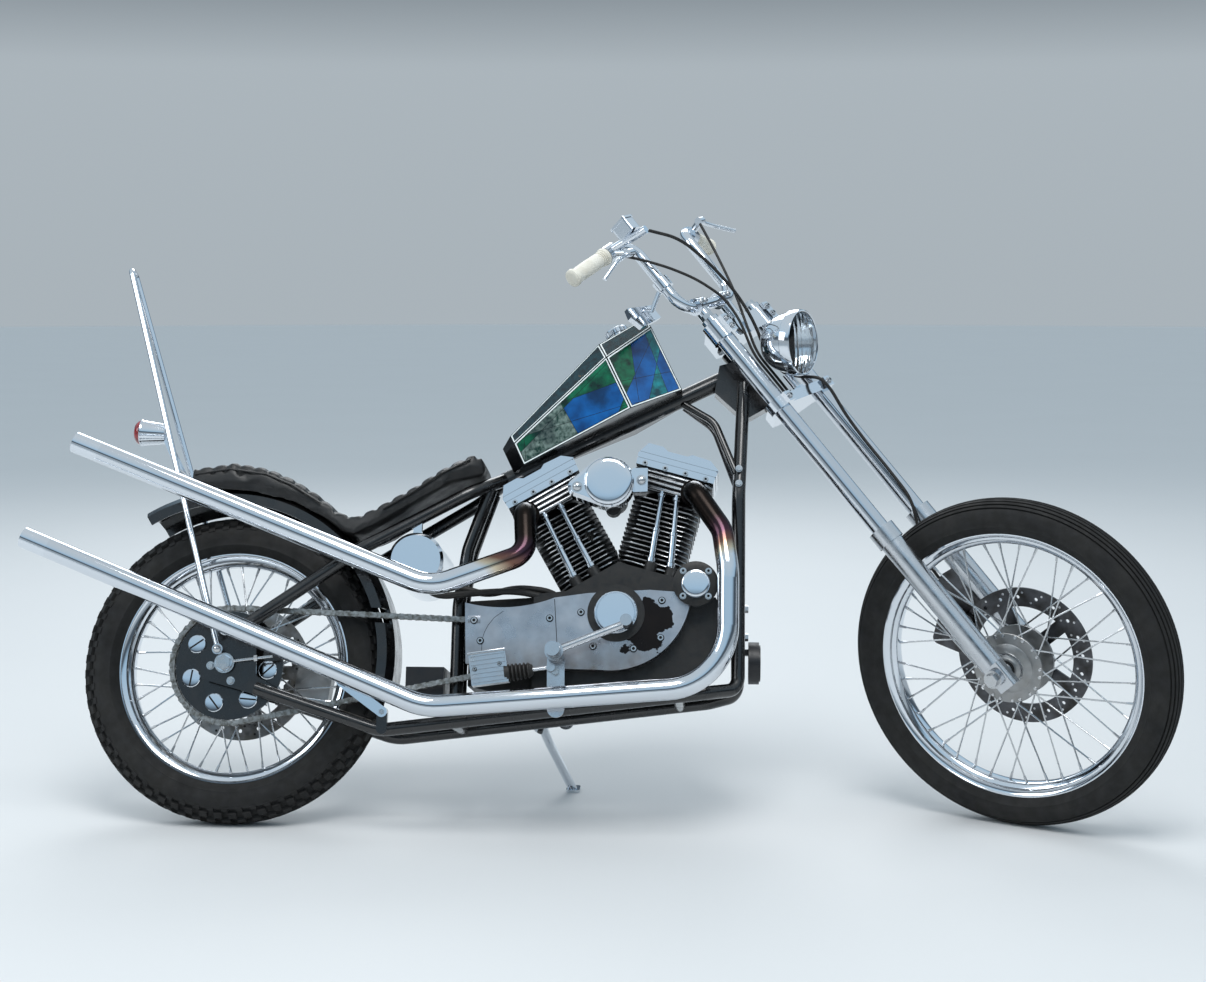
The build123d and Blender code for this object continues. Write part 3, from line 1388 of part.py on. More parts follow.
with BuildPart() as rear_master_cylinder:
    turn = radians(MASTER_TURN)
    with BuildSketch(side_plane(cover_face)) as block:
        with Locations(Location((MASTER_X, MASTER_Z), MASTER_TURN)):
            Rectangle(76, 68)
    extrude(block.sketch, amount=30)
    with BuildSketch(side_plane(cover_face - 30)) as ribs:
        with Locations(Location((MASTER_X, MASTER_Z), MASTER_TURN)):
            with GridLocations(1, 9, 1, 7):
                Rectangle(70, 4)
    extrude(ribs.sketch, amount=3)
    along = Vector(cos(turn), 0, sin(turn))
    start = Vector(MASTER_X, cover_face - 18, MASTER_Z - 16) + along * 34
    boot = Plane(origin=start, x_dir=(0, 0, 1), z_dir=along)
    with BuildSketch(Plane(origin=start, x_dir=along, z_dir=(0, -1, 0))) as bellows:
        with BuildLine():
            Polyline(
                (0, 0), (0, 17), (8, 17), (12, 12), (16, 17), (20, 12), (24, 17), (28, 12), (32, 16),
                (36, 11), (40, 16), (44, 11), (48, 15), (56, 10), (56, 4), (MASTER_ROD, 4), (MASTER_ROD, 0),
                close=True,
            )
        make_face()
    revolve(bellows.sketch, axis=Axis(start, along))
    rod_end = start + along * MASTER_ROD
    add_cross_bar(rod_end.X, rod_end.Z, bracket_face - BRACKET_THICKNESS - SEAT_GAP, start.Y - 6, 9)

with BuildPart() as foot_controls:
    # side, bracket's inner face, peg's outer end
    for side, inner, peg_end in ((-1, -bracket_face, 236), (1, 145, 250)):
        add_link(
            [(PEG_X, PEG_Z - 12), (PEG_X + 2, PEG_MOUNT_Z)], 18, side * inner, side * (inner + BRACKET_THICKNESS)
        )
        add_cross_bar(PEG_X, PEG_MOUNT_Z, side * (RAIL_HALF + 6), side * (inner + 2), 10)
        add_cross_bar(PEG_X, PEG_Z, side * inner, side * peg_end, PEG_R)
        add_cross_bar(PEG_X, PEG_Z, side * 172, side * 192, PEG_R + 4)
        add_tube([(PEG_X + 8, side * 182, PEG_Z + 4), (832, side * 182, 406)], 8)
        add_cross_bar(836, 408, side * 172, side * 228, 12)
    add(frame_rails.part, mode=Mode.SUBTRACT)

with BuildPart() as horn:
    with BuildSketch(Plane.YZ.offset(rail_front_x + HORN_LEAD)) as face:
        with Locations((0, HORN_Z)):
            Circle(HORN_R)
    extrude(face.sketch, amount=HORN_DEPTH)
    with BuildSketch(Plane.YZ.offset(rail_front_x + HORN_LEAD + HORN_DEPTH)) as rim:
        with Locations((0, HORN_Z)):
            Circle(HORN_R - 6)
            Circle(HORN_R - 14, mode=Mode.SUBTRACT)
    extrude(rim.sketch, amount=3)
    add_cross_bar(rail_front_x, HORN_Z + 22, -DOWNTUBE_HALF, DOWNTUBE_HALF, 7)
    with BuildSketch(Plane.YZ.offset(rail_front_x)) as web:
        with Locations((0, HORN_Z + 22)):
            Rectangle(20, 12)
    extrude(web.sketch, amount=HORN_LEAD)
    add(frame_downtubes.part, mode=Mode.SUBTRACT)
    add(crankcase.part, mode=Mode.SUBTRACT)

with BuildPart() as drive_chain:
    with BuildSketch(side_plane(CHAIN_Y + CHAIN_WIDTH / 2)) as face:
        with BuildLine():
            Polyline(*chain_outline((LINK_HALF_HEIGHT, LINK_WAIST_HALF_HEIGHT)), close=True)
        make_face()
        with BuildLine():
            Polyline(*chain_outline((-LINK_HALF_HEIGHT, -LINK_WAIST_HALF_HEIGHT)), close=True)
        make_face(mode=Mode.SUBTRACT)
    extrude(face.sketch, amount=CHAIN_WIDTH)

REAR_BRACKET = [(84, 250), (84, 300), (130, 350), (170, 350), (170, 268), (120, 250)]

with BuildPart() as rear_caliper:
    add_slab(REAR_BRACKET, DISC_Y + CALIPER_HALF, PLATE_Y)
    add_caliper(REAR_HUB, REAR_CALIPER_ANGLE)
    add(frame_rails.part, mode=Mode.SUBTRACT)
    add(axle_plates.part, mode=Mode.SUBTRACT)

# Side stand
stand_foot_z = (STAND_FOOT_Y * sin(lean) - contact_lift) / cos(lean)
stand_pivot = Vector(STAND_X, STAND_Y, STAND_Z)
stand_foot = Vector(STAND_FOOT_X, STAND_FOOT_Y, stand_foot_z)
stand_folded = Vector(-0.98, 0.15, 0.12)
stand_plane = Plane(origin=stand_pivot, z_dir=(stand_foot - stand_pivot).cross(stand_folded))

with BuildPart() as stand_bracket:
    with BuildSketch(stand_plane.offset(STAND_EYE / 2 + SEAT_GAP)) as ear:
        Circle(STAND_EYE_R)
        over_rail = stand_plane.to_local_coords(Vector(STAND_X, RAIL_HALF + 4, STAND_Z + 24))
        with Locations((over_rail.X, over_rail.Y)):
            Circle(12)
        make_hull()
    extrude(ear.sketch, amount=STAND_EAR)
    add_tube([(STAND_X, RAIL_HALF, STAND_Z + 6), (STAND_X, RAIL_HALF + 6, STAND_Z + 48)], 9)
    add(frame_rails.part, mode=Mode.SUBTRACT)
    with BuildSketch(stand_plane.offset(-STAND_EYE / 2 - STAND_EAR)) as room:
        Circle(STAND_EYE_R + STAND_EAR)
    extrude(room.sketch, amount=STAND_EYE + STAND_EAR + SEAT_GAP, mode=Mode.SUBTRACT)
    with BuildSketch(stand_plane.offset(-STAND_EYE / 2 - STAND_EAR)) as pin:
        Circle(STAND_PIN_R)
    extrude(pin.sketch, amount=STAND_EYE + 2 * STAND_EAR)

with BuildPart() as side_stand:
    knee = stand_pivot + Vector(STAND_KNEE_X, STAND_KNEE_Y, STAND_KNEE_Z)
    add_tube([stand_pivot, knee, stand_foot], STAND_R, [40])
    with BuildSketch(stand_plane.offset(-STAND_EYE / 2)) as eye:
        Circle(STAND_EYE_R)
    extrude(eye.sketch, amount=STAND_EYE)
    with BuildSketch(stand_plane.offset(STAND_EYE / 2)) as above:
        Circle(STAND_EYE_R * 2)
    extrude(above.sketch, amount=STAND_EYE, mode=Mode.SUBTRACT)
    with BuildSketch(stand_plane.offset(-STAND_EYE)) as bore:
        Circle(STAND_PIN_R + BORE_GAP)
    extrude(bore.sketch, amount=2 * STAND_EYE, mode=Mode.SUBTRACT)
    with BuildSketch(Plane(origin=stand_foot, z_dir=(0, -sin(lean), cos(lean)))) as pad:
        RectangleRounded(46, 30, 8)
    extrude(pad.sketch, amount=6)
    with BuildSketch(Plane(origin=stand_foot, z_dir=(0, sin(lean), -cos(lean)))) as floor:
        Rectangle(200, 200)
    extrude(floor.sketch, amount=60, mode=Mode.SUBTRACT)

# Parked pose
leaning = Location((0, -REAR_TYRE_R * sin(lean), contact_lift), (-LEAN, 0, 0))
steered = leaning * Location(neck_axis) * Location((0, 0, 0), (0, 0, -STEER))

STEERED = {
    "front_tyre": front_tyre, "front_rim": front_rim, "front_hub_spokes": front_hub_spokes,
    "front_brake_disc": front_brake_disc, "fork_tubes": fork_tubes, "fork_sliders": fork_sliders,
    "upper_clamp": upper_clamp, "lower_clamp": lower_clamp, "front_axle": front_axle,
    "front_caliper": front_caliper, "handlebar": handlebar, "grips": grips,
    "headlamp_shell": headlamp_shell, "headlamp_lens": headlamp_lens,
    "hand_controls": hand_controls, "mirror": mirror, "fork_cables": fork_cables,
}
UPRIGHT = {
    "rear_tyre": rear_tyre, "rear_rim": rear_rim, "rear_hub_spokes": rear_hub_spokes,
    "rear_brake_disc": rear_brake_disc, "rear_sprocket": rear_sprocket, "frame_neck": frame_neck,
    "frame_backbone": frame_backbone, "frame_downtubes": frame_downtubes,
    "frame_rails": frame_rails, "axle_plates": axle_plates, "frame_seat_stays": frame_seat_stays,
    "frame_seat_posts": frame_seat_posts, "rear_axle": rear_axle, "tank": tank,
    "tank_cap": tank_cap, "rear_fender": rear_fender, "seat": seat, "sissy_bar": sissy_bar,
    "tail_lamp": tail_lamp, "tail_lens": tail_lens, "exhaust_upper": exhaust_upper,
    "exhaust_lower": exhaust_lower, "exhaust_tips": exhaust_tips, "crankcase": crankcase,
    "cylinders": cylinders, "cylinder_heads": cylinder_heads, "rocker_covers": rocker_covers,
    "pushrod_tubes": pushrod_tubes, "right_engine_cover": right_engine_cover,
    "round_covers": round_covers, "primary_cover": primary_cover, "air_cleaner": air_cleaner,
    "carburettor": carburettor, "oil_tank": oil_tank, "oil_hoses": oil_hoses,
    "battery_box": battery_box, "rear_master_cylinder": rear_master_cylinder,
    "foot_controls": foot_controls, "horn": horn, "drive_chain": drive_chain,
    "rear_caliper": rear_caliper, "side_stand": side_stand, "stand_bracket": stand_bracket,
}

parked = [(label, piece.part, steered) for label, piece in STEERED.items()]
parked += [(label, piece.part, leaning) for label, piece in UPRIGHT.items()]
boxes = [solid.moved(place).bounding_box() for label, solid, place in parked]
centred = Location((
    -(min(box.min.X for box in boxes) + max(box.max.X for box in boxes)) / 2,
    -(min(box.min.Y for box in boxes) + max(box.max.Y for box in boxes)) / 2,
    -min(box.min.Z for box in boxes),
))

for label, solid, place in parked:
    placed = solid.moved(centred * place)
    placed.label = label
    export_step(placed, f"parts/{label}.step")

print("origin shift", centred.position)
print("steering", steering_x, steering_z, "stand pivot", stand_pivot, "stand axis", stand_plane.z_dir)
print("upper outlet", upper_route[-2:])
print("lower outlet", lower_route[-2:])
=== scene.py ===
"""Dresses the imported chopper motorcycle: finishes on its solids, and the pieces too fine for them.

Lengths in the tables are millimetres, in the two frames that the solids are drawn in. BIKE stands
upright with +X forward, +Y to the left, +Z up and the rear wheel's centre above its origin. FORK
turns with the steering: +Z runs up the steering axis and +X points ahead of it.
"""
import json
from math import acos, atan2, cos, hypot, pi, radians, sin

import bmesh
import bpy
from mathutils import Matrix, Vector


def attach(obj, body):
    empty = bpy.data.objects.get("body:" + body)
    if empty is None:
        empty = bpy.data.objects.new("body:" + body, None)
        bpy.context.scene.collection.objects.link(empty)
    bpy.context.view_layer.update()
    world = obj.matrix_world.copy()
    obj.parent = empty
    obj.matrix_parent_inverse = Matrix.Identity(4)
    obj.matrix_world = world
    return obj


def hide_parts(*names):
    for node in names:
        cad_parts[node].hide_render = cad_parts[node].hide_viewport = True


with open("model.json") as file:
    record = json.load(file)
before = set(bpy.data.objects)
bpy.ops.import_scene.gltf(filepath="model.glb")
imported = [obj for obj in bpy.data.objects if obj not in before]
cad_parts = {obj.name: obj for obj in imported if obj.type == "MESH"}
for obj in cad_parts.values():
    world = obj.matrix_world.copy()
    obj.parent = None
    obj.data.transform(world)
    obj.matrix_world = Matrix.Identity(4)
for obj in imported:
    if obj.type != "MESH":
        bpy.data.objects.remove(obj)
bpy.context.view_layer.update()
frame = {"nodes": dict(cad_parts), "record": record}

bl_info = {
    "name": "Chopper Motorcycle",
    "version": (1, 0, 0),
    "blender": (4, 5, 0),
    "location": "3D View > Sidebar > Chopper",
    "description": "Builds the finishes and fine pieces of a chopper motorcycle",
    "category": "Object",
}

JOINTS = {joint["name"]: joint for joint in frame["record"]["behaviour"]["joints"]}
REAR_AXLE = Vector(JOINTS["rear_wheel_spin"]["pos_m"])
FRONT_AXLE = Vector(JOINTS["front_wheel_spin"]["pos_m"])

# Wheels. SPOKE_SKEW is the angle in degrees round the hub between a spoke's two ends, and
# TREAD_SINK how deep the tread blocks are set into the tyre.
REAR_TYRE_R = 325
REAR_SECTION = 52
FRONT_TYRE_R = 350
FRONT_SECTION = 42
REAR_RIM_R = 243.5
FRONT_RIM_R = 281.5
REAR_HUB = (0, 0, REAR_TYRE_R)
FRONT_HUB = (48.9, 0, 0)
SPOKES = 40
SPOKE_SKEW = 34
WELL_DEPTH = 24
SPOKE_GAP = 0.7
TREAD_BLOCKS = 62
TREAD_SINK = 0.6

# Drive and brakes. The pitch circles are (x, z, radius), the disc faces (y, way out), and a ring
# is the radius that rivets or bolts stand on.
CHAIN_Y = -67
REAR_PITCH = (0.0, 325.0, 121.0)
FRONT_PITCH = (560.0, 372.0, 52.0)
CHAIN_LINKS = 104
CHAIN_PLATE = 1.8
SPROCKET_TEETH = 48
SPROCKET_TIP_R = 113.4
SPROCKET_FACE_Y = -70.5
SPROCKET_BOLTS = 7
SPROCKET_BOLT_RING = 83
DISC_FACES = ((57.4, -1), (62.6, 1))
DISC_RIVETS = 40
DISC_RIVET_RINGS = (116, 136)
DISC_BOLTS = 5
DISC_BOLT_RING = 45

# Frame, lamps and engine. The backrest's ends are (x, z), the cylinders' leans are degrees from
# upright, and MIDDLE_SLOPE is the run of x with z of the plane between the two cylinders.
RAKE = radians(38.45)
BACKBONE_SLOPE = radians(26)
BACKBONE_REAR = (560, 736.04)
TANK_START = 52
TANK_BEVEL_RISE = 1.15
CAP_RIBS = 16
HEADLAMP = (144, 0, 796)
BACKREST_FOOT = (-14, 353)
BACKREST_TOP = (-283, 1208)
TAIL_BAR_Z = 745
CRANK = Vector((833, 0, 388))
REAR_LEAN = -29.9
FRONT_LEAN = 15.1
MIDDLE_SLOPE = -0.13
FIN_CORE_R = 66
COVER_Y = -128


def axes(origin, x, y, z):
    """Matrix from millimetres on three axes to metres in the row frame."""
    turn = Matrix((x, y, z)).transposed().to_4x4()
    return Matrix.Translation(origin) @ turn @ Matrix.Scale(0.001, 4)


LEFT = Vector(JOINTS["rear_wheel_spin"]["axis"]).normalized()
AHEAD = Vector((1, 0, 0))
UP = AHEAD.cross(LEFT)
BIKE = axes(REAR_AXLE - UP * (REAR_HUB[2] / 1000), AHEAD, LEFT, UP)
FORK_LEFT = Vector(JOINTS["front_wheel_spin"]["axis"]).normalized()
FORK_UP = Vector(JOINTS["steering"]["axis"]).normalized()
FORK_AHEAD = FORK_LEFT.cross(FORK_UP)
FORK = axes(FRONT_AXLE - FORK_AHEAD * (FRONT_HUB[0] / 1000), FORK_AHEAD, FORK_LEFT, FORK_UP)


# Mesh tools

def at(place, point, toward=(0, 0, 1)):
    """Matrix at a point of BIKE or FORK, whose +Z points a given way there."""
    turn = Vector(toward).normalized().to_track_quat("Z", "Y").to_matrix().to_4x4()
    return place @ Matrix.Translation(Vector(point)) @ turn


def take(bm, part, place):
    """Moves a finished part into a bigger mesh, at its place."""
    bmesh.ops.transform(part, matrix=place, verts=part.verts)
    mesh = bpy.data.meshes.new("part")
    part.to_mesh(mesh)
    part.free()
    bm.from_mesh(mesh)
    bpy.data.meshes.remove(mesh)


def turn_outline(outline, steps, material=0, closed=True):
    """Part turned about +Z from (along, out) points."""
    part = bmesh.new()
    verts = [part.verts.new((out, 0, along)) for along, out in outline]
    ends = verts[1:] + verts[:1] if closed else verts[1:]
    edges = [part.edges.new(pair) for pair in zip(verts, ends)]
    bmesh.ops.spin(
        part, geom=verts + edges, axis=(0, 0, 1), cent=(0, 0, 0), angle=2 * pi, steps=steps,
        use_merge=True,
    )
    bmesh.ops.remove_doubles(part, verts=part.verts, dist=0.001)
    bmesh.ops.dissolve_degenerate(part, edges=part.edges, dist=0.0005)
    bmesh.ops.recalc_face_normals(part, faces=part.faces)
    for face in part.faces:
        face.material_index = material
    return part


def add_turned(bm, place, outline, steps=48, material=0, closed=True):
    """Adds an outline turned about a place's +Z."""
    take(bm, turn_outline(outline, steps, material, closed), place)


def add_rod(bm, place, start, end, radius, sides=12, end_radius=None, material=0):
    """Adds a round rod, or a tapered one, between two points."""
    run = Vector(end) - Vector(start)
    part = bmesh.new()
    bmesh.ops.create_cone(
        part, cap_ends=True, segments=sides, radius1=radius,
        radius2=radius if end_radius is None else end_radius, depth=run.length,
        matrix=Matrix.Translation((0, 0, run.length / 2)),
    )
    for face in part.faces:
        face.material_index = material
    take(bm, part, at(place, start, run))


def add_block(bm, place, size, soften=0.0, material=0):
    """Adds a block, with its edges rounded if asked."""
    part = bmesh.new()
    bmesh.ops.create_cube(part, size=1, matrix=Matrix.Diagonal((*size, 1)))
    if soften:
        bmesh.ops.bevel(
            part, geom=part.edges[:], offset=soften, segments=2, profile=0.5, affect="EDGES",
            material=-1,
        )
    for face in part.faces:
        face.material_index = material
    take(bm, part, place)


def add_screw(bm, place, radius, kind):
    """Adds a screw head or nut on a face, with its recess as the second material."""
    sides = 6 if kind == "hex" else 14
    height = radius * {"hex": 0.8, "dome": 0.5}.get(kind, 0.75)
    washer = radius * 1.25
    add_turned(
        bm, place, [(0, 0), (0, washer), (0.8, washer), (0.8, 0)], 18, 1 if kind == "sunk" else 0,
        closed=False,
    )
    part = bmesh.new()
    bmesh.ops.create_cone(
        part, cap_ends=True, segments=sides, radius1=radius, radius2=radius * 0.94, depth=height,
        matrix=Matrix.Translation((0, 0, 0.6 + height / 2)),
    )
    top = max(part.faces, key=lambda face: face.calc_center_median().z)
    if kind in ("socket", "sunk"):
        bmesh.ops.inset_region(part, faces=[top], thickness=radius * 0.42)
        bmesh.ops.inset_region(part, faces=[top], thickness=0.05, depth=-height * 0.6)
        top.material_index = 1
    elif kind == "dome":
        for share, rise in ((0.25, 0.22), (0.3, 0.14), (0.35, 0.06)):
            bmesh.ops.inset_region(
                part, faces=[top], thickness=radius * share, depth=radius * rise
            )
    take(bm, part, place)


def make_piece(name, bm, body, finishes, nodes=(), sharp=35):
    """Turns a mesh that is drawn in the row frame into a piece of the motorcycle."""
    mesh = bpy.data.meshes.new(name)
    bm.to_mesh(mesh)
    bm.free()
    for finish in finishes:
        mesh.materials.append(FINISHES[finish])
    mesh.shade_smooth()
    mesh.set_sharp_from_angle(angle=radians(sharp))
    piece = bpy.data.objects.new(name, mesh)
    bpy.context.collection.objects.link(piece)
    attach(piece, body)
    if nodes:
        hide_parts(*nodes)
    return piece


def turned_piece(name, place, outline, steps, body, finish, nodes=(), closed=False):
    """Makes a piece of one turned outline."""
    bm = bmesh.new()
    add_turned(bm, place, outline, steps, closed=closed)
    make_piece(name, bm, body, [finish], nodes)


def copy_node(node):
    """Mesh of a CAD node with its loose triangles merged."""
    bm = bmesh.new()
    bm.from_mesh(frame["nodes"][node].data)
    bm.transform(frame["nodes"][node].matrix_world)
    bmesh.ops.remove_doubles(bm, verts=bm.verts, dist=0.00001)
    return bm


# Finishes

FINISHES = {}

# Numbers of a Mix node's colour sockets: under, over and their result
MIX_UNDER, MIX_OVER, MIX_RESULT = 6, 7, 2


def srgb(text):
    """Linear colour of an sRGB hex value."""
    parts = [int(text[i:i + 2], 16) / 255 for i in (1, 3, 5)]
    return tuple(p / 12.92 if p <= 0.04045 else ((p + 0.055) / 1.055) ** 2.4 for p in parts)


def add_node(tree, kind, inputs=None, **settings):
    """Adds a node. Each of its inputs is a value, a hex colour or another node's socket."""
    node = tree.nodes.new(kind)
    for key, value in settings.items():
        setattr(node, key, value)
    for key, value in (inputs or {}).items():
        if isinstance(value, bpy.types.NodeSocket):
            tree.links.new(node.inputs[key], value)
        else:
            node.inputs[key].default_value = (*srgb(value), 1) if isinstance(value, str) else value
    return node


def start_finish(name, colour, metallic=0.0, roughness=0.5, coat=0.0):
    """Starts a finish, and returns its tree, shader and Object coordinates."""
    material = bpy.data.materials.new(name)
    material.use_nodes = True
    FINISHES[name] = material
    tree = material.node_tree
    shader = tree.nodes["Principled BSDF"]
    shader.inputs["Base Color"].default_value = (*srgb(colour), 1)
    shader.inputs["Metallic"].default_value = metallic
    shader.inputs["Roughness"].default_value = roughness
    shader.inputs["Coat Weight"].default_value = coat
    shader.inputs["Coat Roughness"].default_value = 0.06
    place = add_node(tree, "ShaderNodeTexCoord").outputs["Object"]
    return tree, shader, place


def clouds(tree, place, size_mm, low, high, detail=3.0, sharp=0.18, middle=0.5):
    """Soft patches of a size, from a low value to a high one. A high middle makes them rare."""
    noise = add_node(
        tree, "ShaderNodeTexNoise", {"Vector": place, "Scale": 1000 / size_mm, "Detail": detail}
    )
    return add_node(tree, "ShaderNodeMapRange", {
        "Value": noise.outputs["Fac"], "From Min": middle - sharp, "From Max": middle + sharp,
        "To Min": low, "To Max": high,
    }).outputs["Result"]


def patch(tree, place, point, inner, outer, ragged=0.0):
    """Patch round a point of BIKE: 1 up to an inner distance in metres, and 0 past an outer."""
    reach = add_node(
        tree, "ShaderNodeVectorMath", {0: place, 1: tuple(BIKE @ Vector(point))},
        operation="DISTANCE",
    ).outputs["Value"]
    if ragged:
        edge = clouds(tree, place, 34, -ragged, ragged, 6)
        reach = add_node(tree, "ShaderNodeMath", {0: reach, 1: edge}).outputs["Value"]
    return add_node(tree, "ShaderNodeMapRange", {
        "Value": reach, "From Min": inner, "From Max": outer, "To Min": 1.0, "To Max": 0.0,
    }).outputs["Result"]


def fill_stops(ramp, stops):
    """Gives a colour ramp its (position, hex value) stops, of which the ends lie at 0 and 1."""
    bands = ramp.color_ramp.elements
    bands[0].color = (*srgb(stops[0][1]), 1)
    bands[1].color = (*srgb(stops[-1][1]), 1)
    for position, colour in stops[1:-1]:
        bands.new(position).color = (*srgb(colour), 1)


def relief(tree, shader, height, depth_mm, strength=1.0):
    """Raises the surface of a finish where a height pattern is high."""
    bump = add_node(
        tree, "ShaderNodeBump",
        {"Height": height, "Distance": depth_mm / 1000, "Strength": strength},
    )
    tree.links.new(shader.inputs["Normal"], bump.outputs["Normal"])


def stain(tree, shader, mask, over, under=None):
    """Lays a colour over a finish by a mask, on a given colour or on what the finish has."""
    base = shader.inputs["Base Color"]
    mix = add_node(tree, "ShaderNodeMix", {
        "Factor": mask, MIX_UNDER: under or base.links[0].from_socket, MIX_OVER: over,
    }, data_type="RGBA")
    tree.links.new(base, mix.outputs[MIX_RESULT])


def mottle(tree, shader, place, size_mm, light, dark, detail=3.0, sharp=0.18):
    """Clouds the base colour with patches of a size."""
    stain(tree, shader, clouds(tree, place, size_mm, 0, 1, detail, sharp), dark, light)


def smear(tree, shader, place, size_mm, low, high):
    """Clouds the roughness with patches of a size."""
    tree.links.new(shader.inputs["Roughness"], clouds(tree, place, size_mm, low, high))


def grain(tree, shader, place, size_mm, depth_mm, strength, detail=2):
    """Roughens the surface with bumps of a size."""
    relief(tree, shader, clouds(tree, place, size_mm, 0, 1, detail), depth_mm, strength)


def make_finishes(blue, green):
    """Makes every finish, with the tank's blue and green from two linear colours."""
    # Chrome plate over polished steel: a bright mirror that blurs a little where dust lies.
    look = start_finish("chrome_plate", "#DDE2E8", 1, 0.07)
    smear(*look, 70, 0.045, 0.12)
    grain(*look, 160, 0.25, 0.25, 1)

    # Chrome plate on exhaust pipe: heat has browned it by the ports, purple where it fades.
    tree, shader, place = start_finish("header_chrome", "#D8DDE3", 1, 0.09)
    rear, front = (
        patch(tree, place, port, 0.05, reach)
        for port, reach in (((617, -84, 647), 0.185), ((968, -84, 695.5), 0.19))
    )
    heat = add_node(
        tree, "ShaderNodeMath", {0: rear, 1: front}, operation="MAXIMUM"
    ).outputs["Value"]
    browned = add_node(tree, "ShaderNodeValToRGB", {"Fac": heat})
    fill_stops(browned, (
        (0, "#D8DDE3"), (0.1, "#CDBFA6"), (0.22, "#7A5A4E"), (0.36, "#4A3540"), (0.6, "#241F1D"),
        (1, "#1C1917"),
    ))
    tree.links.new(shader.inputs["Base Color"], browned.outputs["Color"])
    dulled = add_node(tree, "ShaderNodeMapRange", {"Value": heat, "To Min": 0.07, "To Max": 0.34})
    tree.links.new(shader.inputs["Roughness"], dulled.outputs["Result"])

    # Hard chrome on fork tubes: straight, even and very smooth.
    look = start_finish("hard_chrome", "#CFD4DA", 1, 0.08)
    smear(*look, 90, 0.05, 0.12)

    # Polished cast aluminium: a softer mirror with fine polishing lines.
    look = start_finish("polished_aluminium", "#C9CCD0", 1, 0.2)
    smear(*look, 25, 0.14, 0.3)
    grain(*look, 3, 0.05, 0.3)

    # Dull cast aluminium of hubs and caliper: grey oxide over a sandy skin.
    look = start_finish("dull_aluminium", "#9C9EA0", 1, 0.42)
    mottle(*look, 30, "#A6A8AA", "#8C8B88", 4, 0.3)
    smear(*look, 12, 0.3, 0.55)
    grain(*look, 2, 0.1, 0.4, 3)

    # Satin aluminium engine cover, worn: an even blue-grey skin that has gone brown along the
    # bottom, with a ragged dark patch ahead of the round cap where it is eaten away.
    tree, shader, place = look = start_finish("worn_aluminium", "#B9BDC4", 1, 0.3)
    mottle(*look, 34, "#C2C6CC", "#A2A6AD", 5, 0.3)
    height = add_node(
        tree, "ShaderNodeVectorMath", {0: place, 1: tuple(UP)}, operation="DOT_PRODUCT"
    )
    ground = (BIKE @ Vector((0, 0, 0))).dot(UP)
    low = add_node(tree, "ShaderNodeMapRange", {
        "Value": height.outputs["Value"], "From Min": ground + 0.315, "From Max": ground + 0.385,
        "To Min": 0.75, "To Max": 0.0,
    })
    film = add_node(tree, "ShaderNodeMath", {
        0: low.outputs["Result"], 1: clouds(tree, place, 26, 0.3, 1, 5, 0.25),
    }, operation="MULTIPLY")
    stain(tree, shader, film.outputs["Value"], "#7C6650")
    stain(tree, shader, patch(tree, place, (862, COVER_Y, 408), 0.054, 0.056, 0.026), "#2B2726")
    smear(*look, 40, 0.25, 0.36)
    grain(*look, 5, 0.03, 0.3, 4)

    # Gloss black frame enamel: deep and wet, with a thin grey film of dust.
    look = start_finish("black_enamel", "#0B0B0D", 0, 0.2, 0.6)
    mottle(*look, 50, "#050506", "#111010", 5)
    smear(*look, 35, 0.14, 0.38)

    # Black baked engine paint: finely textured, half matt, with a little brown heat dust.
    look = start_finish("engine_black", "#131314", 0, 0.45)
    mottle(*look, 22, "#0A0A0B", "#1C1A17", 4)
    smear(*look, 9, 0.34, 0.6)
    grain(*look, 1.6, 0.08, 0.5)

    # Bare aluminium on the fins' edges: bright, cut lines against the black.
    look = start_finish("cut_aluminium", "#B9BBBD", 1, 0.28)
    smear(*look, 6, 0.2, 0.45)

    # Black tyre rubber: matt, greyed by dust in soft patches.
    look = start_finish("tyre_rubber", "#191919", 0, 0.82)
    mottle(*look, 40, "#0E0E0F", "#1E1D1B", 5)
    smear(*look, 20, 0.7, 0.92)
    grain(*look, 1.5, 0.12, 0.5)

    # Ground brake steel: clean grey, with a faint brown film beside the pads' track.
    look = start_finish("disc_steel", "#96979A", 1, 0.3)
    mottle(*look, 28, "#A6A7A9", "#7A7670", 4)
    smear(*look, 10, 0.26, 0.48)

    # Brake steel darkened as painted shade, for the front disc and caliper seen against the light:
    # grey with brown clouds, which reads as a deep ring.
    look = start_finish("painted_shade_disc_steel", "#5A5B5E", 1, 0.4)
    mottle(*look, 28, "#626367", "#413F3D", 4)
    smear(*look, 10, 0.32, 0.5)

    # Oiled chain steel: grey plates with greasy brown between them.
    look = start_finish("chain_steel", "#8A867E", 1, 0.36)
    mottle(*look, 8, "#B4B4B2", "#6E6A63")

    # Bright zinc on spokes and small screws: silver, slightly cloudy.
    look = start_finish("zinc_steel", "#C4C6C8", 1, 0.22)
    smear(*look, 15, 0.15, 0.34)

    # Black hole or recess in a screw head: a matt dark that no light reaches.
    look = start_finish("dark_recess", "#0A0A0A", 0, 0.8)
    smear(*look, 5, 0.7, 0.9)

    # White grip rubber: smooth and handled, greyed a little.
    look = start_finish("grip_rubber", "#E4E0D4", 0, 0.5)
    mottle(*look, 24, "#E8E5DA", "#D2CCBC", 3, 0.3)
    grain(*look, 1.2, 0.03, 0.3)

